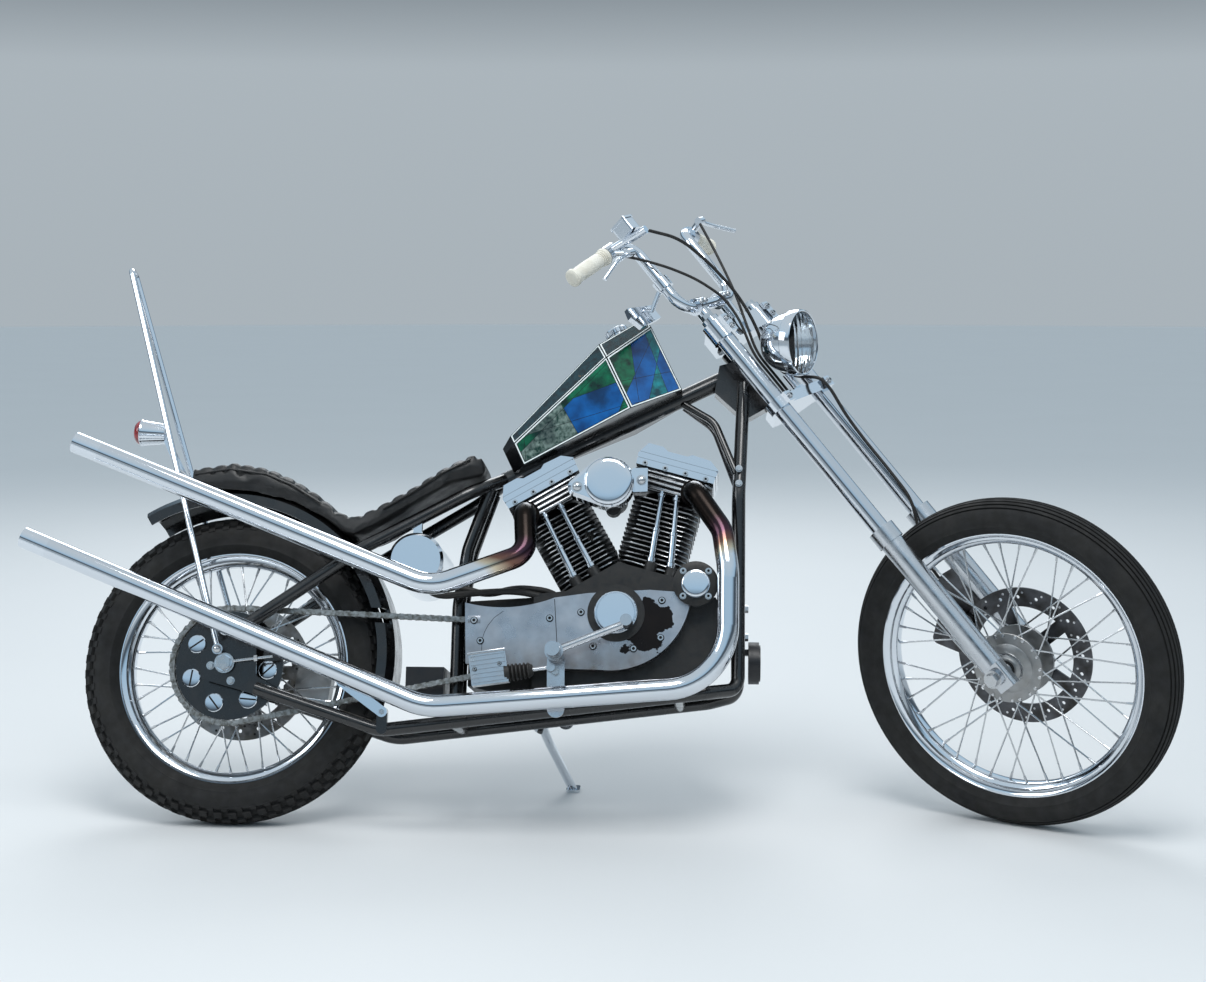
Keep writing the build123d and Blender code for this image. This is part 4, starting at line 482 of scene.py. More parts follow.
    # Black pebbled vinyl on the seat: leather-like cells 2 mm across with a soft sheen.
    tree, shader, place = look = start_finish("seat_vinyl", "#101011", 0, 0.42)
    mottle(*look, 60, "#0E0E0F", "#1D1C1B")
    smear(*look, 25, 0.34, 0.52)
    cells = add_node(
        tree, "ShaderNodeTexVoronoi", {"Vector": place, "Scale": 1000 / 2},
        feature="DISTANCE_TO_EDGE",
    )
    height = add_node(
        tree, "ShaderNodeMapRange", {"Value": cells.outputs["Distance"], "From Max": 0.25}
    )
    relief(tree, shader, height.outputs["Result"], 0.18, 0.5)

    # Black moulded rubber of hoses and boots: dull, with brown dust in soft patches.
    look = start_finish("hose_rubber", "#171614", 0, 0.6)
    mottle(*look, 12, "#121211", "#262320")

    # Black moulded plastic: an even satin with a fine grain.
    look = start_finish("black_plastic", "#15161A", 0, 0.4)
    smear(*look, 20, 0.32, 0.5)
    grain(*look, 1.2, 0.05, 0.4)

    # Clear pressed headlamp glass: soft flutes, 14 mm apart, break up what lies behind.
    tree, shader, place = start_finish("lamp_glass", "#F4F8FA", 0, 0.02)
    shader.inputs["Transmission Weight"].default_value = 1
    shader.inputs["IOR"].default_value = 1.5
    flutes = add_node(
        tree, "ShaderNodeTexWave", {"Vector": place, "Scale": 100 * pi / 14.28, "Distortion": 0.0},
        wave_type="BANDS", bands_direction="Y",
    )
    relief(tree, shader, flutes.outputs["Fac"], 0.6, 0.5)

    # Red moulded lamp plastic, wet and deep.
    look = start_finish("red_lens", "#8E0F14", 0, 0.12, 0.8)
    mottle(*look, 20, "#9A0F16", "#6E0A10")

    # Tank enamels under clear lacquer: deep, glassy fields, each mottled in its own dark.
    for name, light, dark, size, sharp in (
        ("tank_blue", blue, "#062E5E", 46, 0.2),
        ("tank_green", green, "#06271E", 26, 0.13),
        ("tank_teal", "#14838A", "#063A44", 22, 0.14),
        ("tank_moss", "#7E9088", "#16332C", 9, 0.16),
    ):
        tree, shader, place = start_finish(name, "#0A2F6B", 0, 0.16, 0.4)
        shader.inputs["Specular IOR Level"].default_value = 0.35
        mottle(tree, shader, place, size, light, dark, 6, sharp)
        stain(tree, shader, clouds(tree, place, 70, -0.7, 0.6, 4, 0.14), "#04121C")

    # Dusky enamel on the tank's shoulders: dark teal, flecked with small sparks of orange.
    tree, shader, place = start_finish("tank_dusk", "#0C2830", 0, 0.24, 0.15)
    shader.inputs["Specular IOR Level"].default_value = 0.25
    mottle(tree, shader, place, 12, "#0F343B", "#040F14", 5)
    stain(tree, shader, clouds(tree, place, 34, 0, 1, 3, 0.02, 0.68), "#C78A3E")

    # Black lacquer between the fields: a smooth, dark gloss.
    look = start_finish("tank_black", "#060709", 0, 0.2, 0.2)
    smear(*look, 60, 0.12, 0.26)

    # White enamel stripes round the fields: clean and bright.
    look = start_finish("stripe_white", "#F2F6F4", 0, 0.3, 0.3)
    mottle(*look, 10, "#F4F8F6", "#DCE6E4")


# Wheels, chain and brakes

def wheel_place(place, hub):
    """Matrix at a hub whose +Z runs to the bike's left."""
    return at(place, hub, (0, 1, 0))


def on_wheel(hub, radius, turn, y=0.0):
    """Point at a radius and an angle round a hub, y to the bike's left of it."""
    return Vector(hub) + Vector((radius * cos(turn), y, radius * sin(turn)))


def mirrored(outline):
    """Outline whose last point lies on the middle plane, with its other half."""
    return outline + [(-along, out) for along, out in reversed(outline[:-1])]


def tyre_body(outer, section, bead, table):
    """Outline from bead points and (angle, radius inside the section's circle) pairs."""
    points = [(-along, out) for along, out in bead]
    for angle, inset in table:
        turn = radians(angle)
        reach = section - inset
        points.append((-reach * sin(turn), outer - section + reach * cos(turn)))
    return points + [(-along, out) for along, out in reversed(points) if abs(along) > 0.01]


class CHOPPER_OT_tyres(bpy.types.Operator):
    """Block-tread rear tyre and ribbed front tyre"""
    bl_idname = "chopper.tyres"
    bl_label = "Tyres"

    def execute(self, context):
        depth = context.scene.chopper_sizes.tread_depth * 1000
        wall = [
            (114, 3), (104, 0.5), (99, 2.2), (92, 1.4), (84, 1.2), (76, 1.4), (68, 2), (62, 1.2),
            (60, depth), (45, depth), (30, depth), (15, depth), (0, depth),
        ]
        bm = bmesh.new()
        body = tyre_body(REAR_TYRE_R, REAR_SECTION, ((28, 238), (33.2, 244.8)), wall)
        add_turned(bm, wheel_place(BIKE, REAR_HUB), body, 112)
        reach = REAR_SECTION - depth / 2 - TREAD_SINK
        blocks = bmesh.new()
        # Rows of blocks: angle round the section, width, length, share of a pitch ahead
        for angle, width, length, shift in (
            (0, 13, 22, 0), (21, 15, 20, 0.5), (43, 15, 19, 0), (61, 9, 15, 0.5),
        ):
            for way in ((1, -1) if angle else (1,)):
                turn = radians(angle * way)
                place = Matrix.Rotation(2 * pi / TREAD_BLOCKS * shift, 4, "Z") @ Matrix.Translation(
                    (REAR_TYRE_R - REAR_SECTION + reach * cos(turn), 0, reach * sin(turn))
                ) @ Matrix.Rotation(-turn, 4, "Y")
                size = (depth + 2 * TREAD_SINK, length, width, 1)
                part = bmesh.new()
                bmesh.ops.create_cube(part, size=1, matrix=Matrix.Diagonal(size))
                top = [vert for vert in part.verts if vert.co.x > 0]
                bmesh.ops.scale(part, vec=(1, 0.86, 0.86), verts=top)
                take(blocks, part, place)
        bmesh.ops.spin(
            blocks, geom=blocks.verts[:] + blocks.edges[:] + blocks.faces[:], axis=(0, 0, 1),
            cent=(0, 0, 0), angle=2 * pi * (TREAD_BLOCKS - 1) / TREAD_BLOCKS,
            steps=TREAD_BLOCKS - 1, use_duplicate=True,
        )
        take(bm, blocks, wheel_place(BIKE, REAR_HUB))
        make_piece("rear_tyre_treaded", bm, "rear_wheel", ["tyre_rubber"], ["rear_tyre"])

        ribs = [(112, 3), (104, 0.6), (99, 2), (92, 1.2), (84, 0.8), (76, 1.2), (68, 0.8), (60, 0)]
        for angle in (52, 39, 26, 13):
            ribs += [(angle, 0), (angle - 1, 3.6), (angle - 4.5, 3.6), (angle - 5.5, 0)]
        ribs += [(3, 0), (2.2, 3), (0, 3)]
        body = tyre_body(FRONT_TYRE_R, FRONT_SECTION, ((24.5, 276), (29.2, 282.8)), ribs)
        turned_piece(
            "front_tyre_ribbed", wheel_place(FORK, FRONT_HUB), body, 128, "front_wheel",
            "tyre_rubber", ["front_tyre"], closed=True,
        )
        return {"FINISHED"}


class CHOPPER_OT_rims(bpy.types.Operator):
    """Rolled chrome rims with their drop centre"""
    bl_idname = "chopper.rims"
    bl_label = "Rims"

    def execute(self, context):
        for name, place, hub, radius, half, body, node in (
            ("rear_rim_rolled", BIKE, REAR_HUB, REAR_RIM_R, 33, "rear_wheel", "rear_rim"),
            ("front_rim_rolled", FORK, FRONT_HUB, FRONT_RIM_R, 29, "front_wheel", "front_rim"),
        ):
            outside = [
                (-half + 3, radius - 1), (-half + 1.4, radius + 0.6), (-half - 0.6, radius),
                (-half - 0.8, radius - 2.4), (-half + 1, radius - 4), (-half + 3.4, radius - 9),
                (-half + 4.4, radius - 13), (-half + 7, radius - 14.5), (-19, radius - 15.5),
                (-16.5, radius - 19), (-13, radius - 23.4), (-9, radius - 24.6), (0, radius - 25),
            ]
            inside = [
                (0, radius - 21), (-9, radius - 20.8), (-13, radius - 17), (-17, radius - 11.5),
                (-half + 8, radius - 10.5), (-half + 5.5, radius - 8),
            ]
            outline = mirrored(outside)
            outline += [(-along, out) for along, out in reversed(inside)][:-1] + inside
            turned_piece(
                name, wheel_place(place, hub), outline, 128, body, "chrome_plate", [node],
                closed=True,
            )
        return {"FINISHED"}


class CHOPPER_OT_spokes(bpy.types.Operator):
    """Laced spokes with their nipples, and the hubs that they hook into"""
    bl_idname = "chopper.spokes"
    bl_label = "Hubs and Spokes"

    def execute(self, context):
        radius = context.scene.chopper_sizes.spoke_diameter * 500
        for name, place, hub, rim, flange, bore, body, node in (
            (
                "rear_hub_laced", BIKE, REAR_HUB, REAR_RIM_R, 66, 12.1, "rear_wheel",
                "rear_hub_spokes",
            ),
            (
                "front_hub_laced", FORK, FRONT_HUB, FRONT_RIM_R, 74, 10.1, "front_wheel",
                "front_hub_spokes",
            ),
        ):
            bm = bmesh.new()
            add_turned(bm, wheel_place(place, hub), mirrored([
                (-48, bore), (-48, 22.5), (-47, 24), (-44, 27), (-41, 40), (-38.5, 50), (-37, 52),
                (-37, flange - 1), (-36, flange), (-32, flange), (-31, flange - 1), (-31, 42),
                (-27, 34), (-20, 31), (0, 30),
            ]), 64)
            for way in (-1, 1):
                face = at(place, Vector(hub) + Vector((0, 41 * way, 0)), (0, way, 0))
                ring = [(1.5, 30), (3.6, 31), (3.6, 34), (1, 35)]
                add_turned(bm, face, ring, 64, 1, closed=False)
                add_turned(bm, face, [(7.2, 13), (7.2, 19.5)], 48, 2, closed=False)
            for number in range(SPOKES):
                way = 1 if number % 2 else -1
                turn = number * 360 / SPOKES
                skew = SPOKE_SKEW if number % 4 < 2 else -SPOKE_SKEW
                root = on_wheel(hub, flange - 5, radians(turn + skew), way * 34)
                tip = on_wheel(hub, rim - WELL_DEPTH - SPOKE_GAP, radians(turn), way * 6)
                along = (tip - root).normalized()
                add_rod(bm, place, root, tip, radius, 6, material=1)
                add_rod(bm, place, tip - along * 15, tip, 2.4, 8, 3.1, material=1)
                head = root + Vector((0, way * 2.8, 0))
                add_rod(bm, place, head, head + Vector((0, way * 2.2, 0)), 4.2, 8, 3, material=1)
            finishes = ["dull_aluminium", "zinc_steel", "dark_recess"]
            make_piece(name, bm, body, finishes, [node])
        return {"FINISHED"}


def drive_line(count):
    """Evenly spaced points along the chain's closed line, in BIKE's side view."""
    (rear_x, rear_z, rear_r), (front_x, front_z, front_r) = REAR_PITCH, FRONT_PITCH
    rear, front = (rear_x, 0, rear_z), (front_x, 0, front_z)
    span = hypot(front_x - rear_x, front_z - rear_z)
    base = atan2(front_z - rear_z, front_x - rear_x)
    open_turn = acos((rear_r - front_r) / span)
    straight = span * sin(open_turn)
    rear_wrap = rear_r * (2 * pi - 2 * open_turn)
    total = rear_wrap + front_r * 2 * open_turn + 2 * straight
    points = []
    for number in range(count):
        run = total * number / count
        if run < rear_wrap:
            point = on_wheel(rear, rear_r, base + open_turn + run / rear_r)
        elif run < rear_wrap + straight:
            turn = base - open_turn
            share = (run - rear_wrap) / straight
            point = on_wheel(rear, rear_r, turn).lerp(on_wheel(front, front_r, turn), share)
        elif run < total - straight:
            turn = base - open_turn + (run - rear_wrap - straight) / front_r
            point = on_wheel(front, front_r, turn)
        else:
            turn = base + open_turn
            share = (run - (total - straight)) / straight
            point = on_wheel(front, front_r, turn).lerp(on_wheel(rear, rear_r, turn), share)
        points.append(point)
    return points


class CHOPPER_OT_chain(bpy.types.Operator):
    """Roller chain: rollers with inner and outer side plates in turn"""
    bl_idname = "chopper.chain"
    bl_label = "Drive Chain"

    def execute(self, context):
        points = drive_line(CHAIN_LINKS)
        bm = bmesh.new()
        for number, point in enumerate(points):
            after = points[(number + 1) % len(points)]
            run = after - point
            centre = (point + after) / 2
            link = Matrix.Translation((centre.x, CHAIN_Y, centre.z)) @ Matrix.Rotation(
                -atan2(run.z, run.x), 4, "Y"
            ) @ Matrix.Rotation(radians(90), 4, "X")
            for way in (-1, 1):
                part = bmesh.new()
                bmesh.ops.create_circle(part, cap_ends=True, segments=12, radius=7)
                for vert in part.verts:
                    if abs(vert.co.x) > 0.1:
                        vert.co.x += run.length / 2 * (1 if vert.co.x > 0 else -1)
                    if abs(vert.co.x) < 1:
                        vert.co.y *= 0.7
                made = bmesh.ops.extrude_face_region(part, geom=part.faces[:])["geom"]
                raised = [item for item in made if isinstance(item, bmesh.types.BMVert)]
                bmesh.ops.translate(part, vec=(0, 0, CHAIN_PLATE), verts=raised)
                bmesh.ops.recalc_face_normals(part, faces=part.faces)
                # Outer and inner plates in turn
                level = (6.6 if number % 2 else 4.6) * way - CHAIN_PLATE / 2
                take(bm, part, BIKE @ (link @ Matrix.Translation((0, 0, level))))
            # Pin, then roller: half its length, and its radius
            for half, radius in ((8.5, 2.6), (4, 5)):
                left, right = ((point.x, CHAIN_Y + y, point.z) for y in (half, -half))
                add_rod(bm, BIKE, left, right, radius, 8)
        make_piece("roller_chain", bm, "frame", ["chain_steel"], ["drive_chain"])
        return {"FINISHED"}


class CHOPPER_OT_brakes(bpy.types.Operator):
    """Rivets and bolts of the discs, and the sprocket's slotted bolts and teeth"""
    bl_idname = "chopper.brakes"
    bl_label = "Brake and Sprocket Details"

    def execute(self, context):
        for name, place, hub, body, rivets in (
            # The rear disc's rivets take the dark recess finish as painted shade; the front disc's
            # stay bright zinc.
            ("rear_disc_rivets", BIKE, REAR_HUB, "rear_wheel", "dark_recess"),
            ("front_disc_rivets", FORK, FRONT_HUB, "front_wheel", "zinc_steel"),
        ):
            bm = bmesh.new()
            for number in range(DISC_RIVETS):
                for y, way in DISC_FACES:
                    turn = radians((number + 0.5) * 360 / DISC_RIVETS)
                    spot = on_wheel(hub, DISC_RIVET_RINGS[number % 2], turn, y)
                    rivet = [(0, 2.6), (0.25, 2.6), (0.25, 0)]
                    add_turned(bm, at(place, spot, (0, way, 0)), rivet, 10, closed=False)
            make_piece(name, bm, body, [rivets])
            bm = bmesh.new()
            button = [(0, 0), (0, 6.5), (1.2, 6.3), (2, 5), (2.1, 2.6), (1.2, 2.6), (1.2, 0)]
            for number in range(DISC_BOLTS):
                turn = radians((number + 0.5) * 360 / DISC_BOLTS)
                spot = on_wheel(hub, DISC_BOLT_RING, turn, DISC_FACES[1][0] - 0.1)
                add_turned(bm, at(place, spot, (0, 1, 0)), button, 18, closed=False)
            bolts = name.replace("rivets", "bolts")
            make_piece(bolts, bm, body, ["zinc_steel", "dark_recess"])
        bm = bmesh.new()
        head = [(0, 0), (0, 19.5), (2.6, 19.5), (4, 18), (4.4, 14), (4.4, 0)]
        for number in range(SPROCKET_BOLTS):
            turn = radians(147.9 + number * 360 / SPROCKET_BOLTS)
            spot = on_wheel(REAR_HUB, SPROCKET_BOLT_RING, turn, SPROCKET_FACE_Y)
            place = at(BIKE, spot, (0, -1, 0)) @ Matrix.Rotation(radians(35 + 47 * number), 4, "Z")
            add_turned(bm, place, head, 32, closed=False)
            add_block(bm, place @ Matrix.Translation((0, 0, 4.4)), (34, 3.4, 0.6), material=1)
        make_piece("sprocket_bolts", bm, "rear_wheel", ["chrome_plate", "dark_recess"])
        bm = bmesh.new()
        for number in range(SPROCKET_TEETH):
            turn = 2 * pi * number / SPROCKET_TEETH
            spot = on_wheel(REAR_HUB, SPROCKET_TIP_R, turn, CHAIN_Y)
            part = bmesh.new()
            bmesh.ops.create_cube(part, size=1, matrix=Matrix.Diagonal((8, 5, 6, 1)))
            tip = [vert for vert in part.verts if vert.co.x > 0]
            bmesh.ops.scale(part, vec=(1, 0.7, 0.35), verts=tip)
            take(bm, part, BIKE @ (Matrix.Translation(spot) @ Matrix.Rotation(-turn, 4, "Y")))
        make_piece("sprocket_teeth", bm, "rear_wheel", ["disc_steel"])
        return {"FINISHED"}


# Body

# The tank's finishes, in the order of its material numbers
TANK_FINISHES = [
    "tank_black", "stripe_white", "tank_blue", "tank_green", "tank_teal", "tank_moss", "tank_dusk",
]
BLACK, WHITE, BLUE, GREEN, TEAL, MOSS, DUSK = range(len(TANK_FINISHES))

# The tank's cross-sections: along, half width, height of the side, width of the bevel
TANK_SECTIONS = ((-26, 40, 45, 14), (0, 65, 52, 20), (254, 122, 123, 37), (372, 76, 154, 28))

# Planes that part the tank's fields: a point and the direction across the plane
LEAD_CUTS = (
    ((700, 0, 860), (0.86, 0.0, 0.5)), ((760, 0, 912), (-0.3, 0.0, 0.95)),
    ((835, 0, 930), (0.93, 0.0, -0.36)), ((640, 0, 830), (0.25, 0.0, -0.97)),
    ((664, 0, 850), (0.7, 0.0, -0.71)), ((884, 0, 960), (0.985, 0.0, -0.17)),
    ((893, 0, 960), (0.93, 0.0, 0.36)), ((700, 0, 900), (0.6, 0.8, 0.0)),
    ((700, 0, 900), (0.6, -0.8, 0.0)),
)


def tank_point(along, across, up):
    """Place on BIKE along the backbone, across the bike and up from the tube."""
    reach = TANK_START + along
    return Vector((
        BACKBONE_REAR[0] + reach * cos(BACKBONE_SLOPE) - up * sin(BACKBONE_SLOPE), across,
        BACKBONE_REAR[1] + reach * sin(BACKBONE_SLOPE) + up * cos(BACKBONE_SLOPE),
    ))


def field_colour(face, number):
    """Material number of one leaded field of the tank, by where it lies."""
    centre = face.calc_center_median()
    if abs(face.normal.y) < 0.85:
        return DUSK
    if centre.x < 690:
        return (MOSS, MOSS, GREEN)[number % 3]
    if centre.x > 838:
        return TEAL if 866 < centre.x < 893 else BLUE
    if face.calc_area() < 1500:
        return (TEAL, GREEN)[number % 2]
    return GREEN if centre.z > 893 else BLUE


def field_order(face):
    """Sorting key of a field: from the rear, then from the right."""
    centre = face.calc_center_median()
    return round(centre.x), round(centre.y)


class CHOPPER_OT_tank(bpy.types.Operator):
    """Faceted tank with striped borders and leaded, glassy fields, and its cap"""
    bl_idname = "chopper.tank"
    bl_label = "Tank"

    def execute(self, context):
        bm = bmesh.new()
        rings = []
        for along, half, side_top, bevel in TANK_SECTIONS:
            crown = side_top + TANK_BEVEL_RISE * bevel
            shape = [
                (-half, 0), (-half, side_top), (-half + bevel, crown),
                (half - bevel, crown), (half, side_top), (half, 0),
            ]
            verts = [bm.verts.new(tank_point(along, across, up)) for across, up in shape]
            rings.append([bm.edges.new(pair) for pair in zip(verts, verts[1:] + verts[:1])])
        for first, second in zip(rings, rings[1:]):
            bmesh.ops.bridge_loops(bm, edges=first + second)
        bmesh.ops.holes_fill(bm, edges=bm.edges[:], sides=8)
        bmesh.ops.recalc_face_normals(bm, faces=bm.faces)
        panels = [face for face in bm.faces if face.calc_area() > 4000 and face.normal.z > -0.6]
        for thickness, material in ((2.4, BLACK), (3.6, WHITE), (1.3, BLACK)):
            made = bmesh.ops.inset_individual(bm, faces=panels, thickness=thickness)["faces"]
            for face in made:
                face.material_index = material
        for face in panels:
            face.material_index = BLUE
        for centre, normal in LEAD_CUTS:
            fields = [face for face in bm.faces if face.material_index == BLUE]
            geometry = set(fields)
            for face in fields:
                geometry.update(face.edges)
                geometry.update(face.verts)
            bmesh.ops.bisect_plane(
                bm, geom=list(geometry), dist=0.01, plane_co=centre, plane_no=normal
            )
        fields = [face for face in bm.faces if face.material_index == BLUE]
        for face in bmesh.ops.inset_individual(bm, faces=fields, thickness=0.7)["faces"]:
            face.material_index = BLACK
        for number, face in enumerate(sorted(fields, key=field_order)):
            face.material_index = field_colour(face, number)
        bmesh.ops.triangulate(bm, faces=[face for face in bm.faces if len(face.verts) > 4])
        bmesh.ops.transform(bm, matrix=BIKE, verts=bm.verts)
        make_piece("faceted_tank", bm, "frame", TANK_FINISHES, ["tank"], sharp=12)

        bm = bmesh.new()
        upright = (-sin(BACKBONE_SLOPE), 0, cos(BACKBONE_SLOPE))
        place = at(BIKE, tank_point(306, 0, 166), upright)
        cap = [
            (0, 0), (0, 26), (3, 26), (4, 22), (24, 22), (25, 24.6), (34, 25), (37, 23), (38, 17),
            (40, 15), (41, 0),
        ]
        add_turned(bm, place, cap, 48, closed=False)
        for number in range(CAP_RIBS):
            turn = 2 * pi * number / CAP_RIBS
            x, y = 24.4 * cos(turn), 24.4 * sin(turn)
            add_rod(bm, place, (x, y, 25), (x, y, 34), 1.8, 8)
        make_piece("ribbed_cap", bm, "frame", ["chrome_plate"], ["tank_cap"])
        return {"FINISHED"}


# Seat: frames of the cloth run, then metres
CLOTH_FRAMES = 20
SWELL_LIMIT = 0.005
PLEAT_DEPTH = 0.0065
UNDER_RISE = 0.002


def swell(piece):
    """Blows a closed cloth up a little, and keeps each point near to where it was."""
    start = [vert.co.copy() for vert in piece.data.vertices]
    cloth = piece.modifiers.new("Cloth", "CLOTH")
    cloth.settings.use_pressure = True
    cloth.settings.uniform_pressure_force = 4
    cloth.settings.effector_weights.gravity = 0
    cloth.settings.tension_stiffness = 25
    cloth.settings.compression_stiffness = 25
    scene = bpy.context.scene
    scene.frame_start, scene.frame_end = 1, CLOTH_FRAMES
    for number in range(1, CLOTH_FRAMES + 1):
        scene.frame_set(number)
    settled = piece.evaluated_get(bpy.context.evaluated_depsgraph_get())
    moved = [vert.co.copy() for vert in settled.data.vertices]
    piece.modifiers.remove(cloth)
    scene.frame_set(1)
    for vert, old, new in zip(piece.data.vertices, start, moved):
        step = new - old
        if step.length > SWELL_LIMIT:
            step = step.normalized() * SWELL_LIMIT
        vert.co = old + step


def smooth_points(mesh, rounds):
    """Evens out a mesh's points a number of times."""
    bm = bmesh.new()
    bm.from_mesh(mesh)
    for number in range(rounds):
        bmesh.ops.smooth_vert(
            bm, verts=bm.verts, factor=0.5, use_axis_x=True, use_axis_y=True, use_axis_z=True
        )
    bm.to_mesh(mesh)
    bm.free()


def sew_pleats(mesh, pitch):
    """Sinks channels across the seat's top, and draws its underside in."""
    inverse = BIKE.inverted()
    tilt = inverse.to_3x3().normalized()
    normals = [vert.normal.copy() for vert in mesh.vertices]
    for vert, normal in zip(mesh.vertices, normals):
        along = (inverse @ vert.co).x / 1000
        upright = (tilt @ normal).normalized().z
        if upright > 0.25:
            vert.co -= normal * PLEAT_DEPTH * (1 - abs(sin(pi * along / pitch))) ** 2
        if upright < -0.1:
            vert.co -= normal * UNDER_RISE


class CHOPPER_OT_seat(bpy.types.Operator):
    """Two-step seat in pleated vinyl, swelled by a cloth run and sewn across"""
    bl_idname = "chopper.seat"
    bl_label = "Seat"

    def execute(self, context):
        piece = make_piece(
            "pleated_seat", copy_node("seat"), "frame", ["seat_vinyl"], ["seat"],
            sharp=180,
        )
        piece.data.remesh_voxel_size = 0.0055
        context.view_layer.objects.active = piece
        piece.select_set(True)
        bpy.ops.object.voxel_remesh()
        swell(piece)
        smooth_points(piece.data, 5)
        sew_pleats(piece.data, context.scene.chopper_sizes.pleat_pitch)
        piece.data.shade_smooth()
        smooth = piece.modifiers.new("Smooth", "SUBSURF")
        smooth.levels = smooth.render_levels = 1

        bm = bmesh.new()
        for way in (1, -1):
            for line in (
                ((-96, 76, 732), (-20, 77, 744), (60, 77, 733), (117, 78, 709), (178, 79, 671)),
                ((318, 112, 653), (380, 112, 690), (438, 112, 730), (496, 88, 766)),
            ):
                points = [(x, way * half, z) for x, half, z in line]
                for first, last in zip(points, points[1:]):
                    add_rod(bm, BIKE, first, last, 2.2, 8)
        make_piece("seat_piping", bm, "frame", ["seat_vinyl"])
        return {"FINISHED"}


class CHOPPER_OT_lamps(bpy.types.Operator):
    """Headlamp with its reflector, bulb and glass, and the tail lamp"""
    bl_idname = "chopper.lamps"
    bl_label = "Lamps"

    def execute(self, context):
        place = at(FORK, HEADLAMP, (cos(RAKE), 0, -sin(RAKE)))
        bm = bmesh.new()
        bowl = [
            (-90, 0), (-90, 14), (-88, 26), (-82, 38), (-72, 49), (-58, 57.5), (-42, 63), (-26, 66),
            (-22, 66.5), (-21.5, 69), (-20, 70.4), (-12, 71), (-3, 70.6), (1, 69.4), (2.4, 67.6),
            (1.4, 66), (-3, 65.2), (-8, 64), (-22, 60), (-40, 49), (-54, 34), (-62, 18), (-64, 9),
            (-64, 0),
        ]
        add_turned(bm, place, bowl, 72, closed=False)
        add_rod(bm, FORK, (66, 0, 728), (66, 0, 772), 9, 24)
        add_rod(bm, FORK, (66, 0, 728), (66, 0, 734), 14, 6)
        make_piece("lamp_bowl", bm, "fork", ["chrome_plate"], ["headlamp_shell"])
        bulb = [(-62, 0), (-62, 7), (-50, 7), (-48, 5), (-34, 5), (-32, 0)]
        turned_piece("lamp_bulb", place, bulb, 20, "fork", "zinc_steel")
        glass = [
            (-2, 0), (-2, 64), (-1, 65.4), (0.5, 65.4), (3, 60), (6, 48), (8, 30), (9, 14),
            (9.3, 0),
        ]
        turned_piece(
            "lamp_glass_front", place, glass, 64, "fork", "lamp_glass",
            ["headlamp_lens"],
        )

        # A cross bar of the backrest carries the tail lamp, which stands behind and above it.
        share = (TAIL_BAR_Z - BACKREST_FOOT[1]) / (BACKREST_TOP[1] - BACKREST_FOOT[1])
        bar_x = BACKREST_FOOT[0] + share * (BACKREST_TOP[0] - BACKREST_FOOT[0])
        back = at(BIKE, (bar_x - 47, 0, TAIL_BAR_Z + 93), (-1, 0, 0.05))
        lens = [(52.5, 0), (52.5, 26.5), (56, 27), (62, 25), (67, 20), (69.4, 12), (70, 0)]
        turned_piece("tail_glass", back, lens, 40, "frame", "red_lens", ["tail_lens"])
        bezel = [(50, 24), (50, 29), (53, 29.6), (55, 28.4), (55, 27.2), (52, 27)]
        turned_piece(
            "tail_bezel", back, bezel, 40, "frame", "chrome_plate", closed=True
        )
        return {"FINISHED"}


class CHOPPER_OT_grips(bpy.types.Operator):
    """Smooth rubber grips with a ringed collar at the inner end"""
    bl_idname = "chopper.grips"
    bl_label = "Grips"

    def execute(self, context):
        bm = bmesh.new()
        outline = [(-3, 0), (-3, 13), (-2, 16), (0, 19), (6, 19.4), (8, 17)]
        outline += [(14, 16.2), (24, 16.6), (50, 17.2), (76, 16.8), (88, 16.4)]
        for start in (90, 95):
            outline += [(start, 15.4), (start + 1, 15.4), (start + 1.6, 17), (start + 4.4, 17)]
        outline += [(101, 15.6), (103, 18.6), (106, 19.6), (110, 19.2), (111, 13)]
        for way in (-1, 1):
            end = Vector((-28, way * 290, 1176))
            run = Vector((32, way * 112, 1200)) - end
            add_turned(bm, at(FORK, end, run), outline, 32, closed=False)
        make_piece("rubber_grips", bm, "fork", ["grip_rubber"], ["grips"])
        return {"FINISHED"}


def cylinder_axes(lean):
    """Directions up a cylinder's bore and forward across it, on BIKE."""
    turn = radians(lean)
    return Vector((sin(turn), 0, cos(turn))), Vector((cos(turn), 0, -sin(turn)))


class CHOPPER_OT_fins(bpy.types.Operator):
    """Cylinders and heads whose fins show bright cut edges against the black"""
    bl_idname = "chopper.fins"
    bl_label = "Cylinder Fins"

    def execute(self, context):
        inverse = BIKE.inverted()
        upright = BIKE.to_3x3().normalized().inverted()
        for node in ("cylinders", "cylinder_heads"):
            bm = copy_node(node)
            bm.normal_update()
            for face in bm.faces:
                offset = inverse @ face.calc_center_median() - CRANK
                lean = REAR_LEAN if offset.x < offset.z * MIDDLE_SLOPE else FRONT_LEAN
                axis = cylinder_axes(lean)[0]
                outward = offset - axis * offset.dot(axis)
                normal = (upright @ face.normal).normalized()
                cut = abs(normal.dot(axis)) < 0.2 and outward.length > FIN_CORE_R
                face.material_index = 1 if cut else 0
            make_piece(
                f"{node}_cut", bm, "frame", ["engine_black", "cut_aluminium"],
                [node], sharp=30,
            )
        return {"FINISHED"}


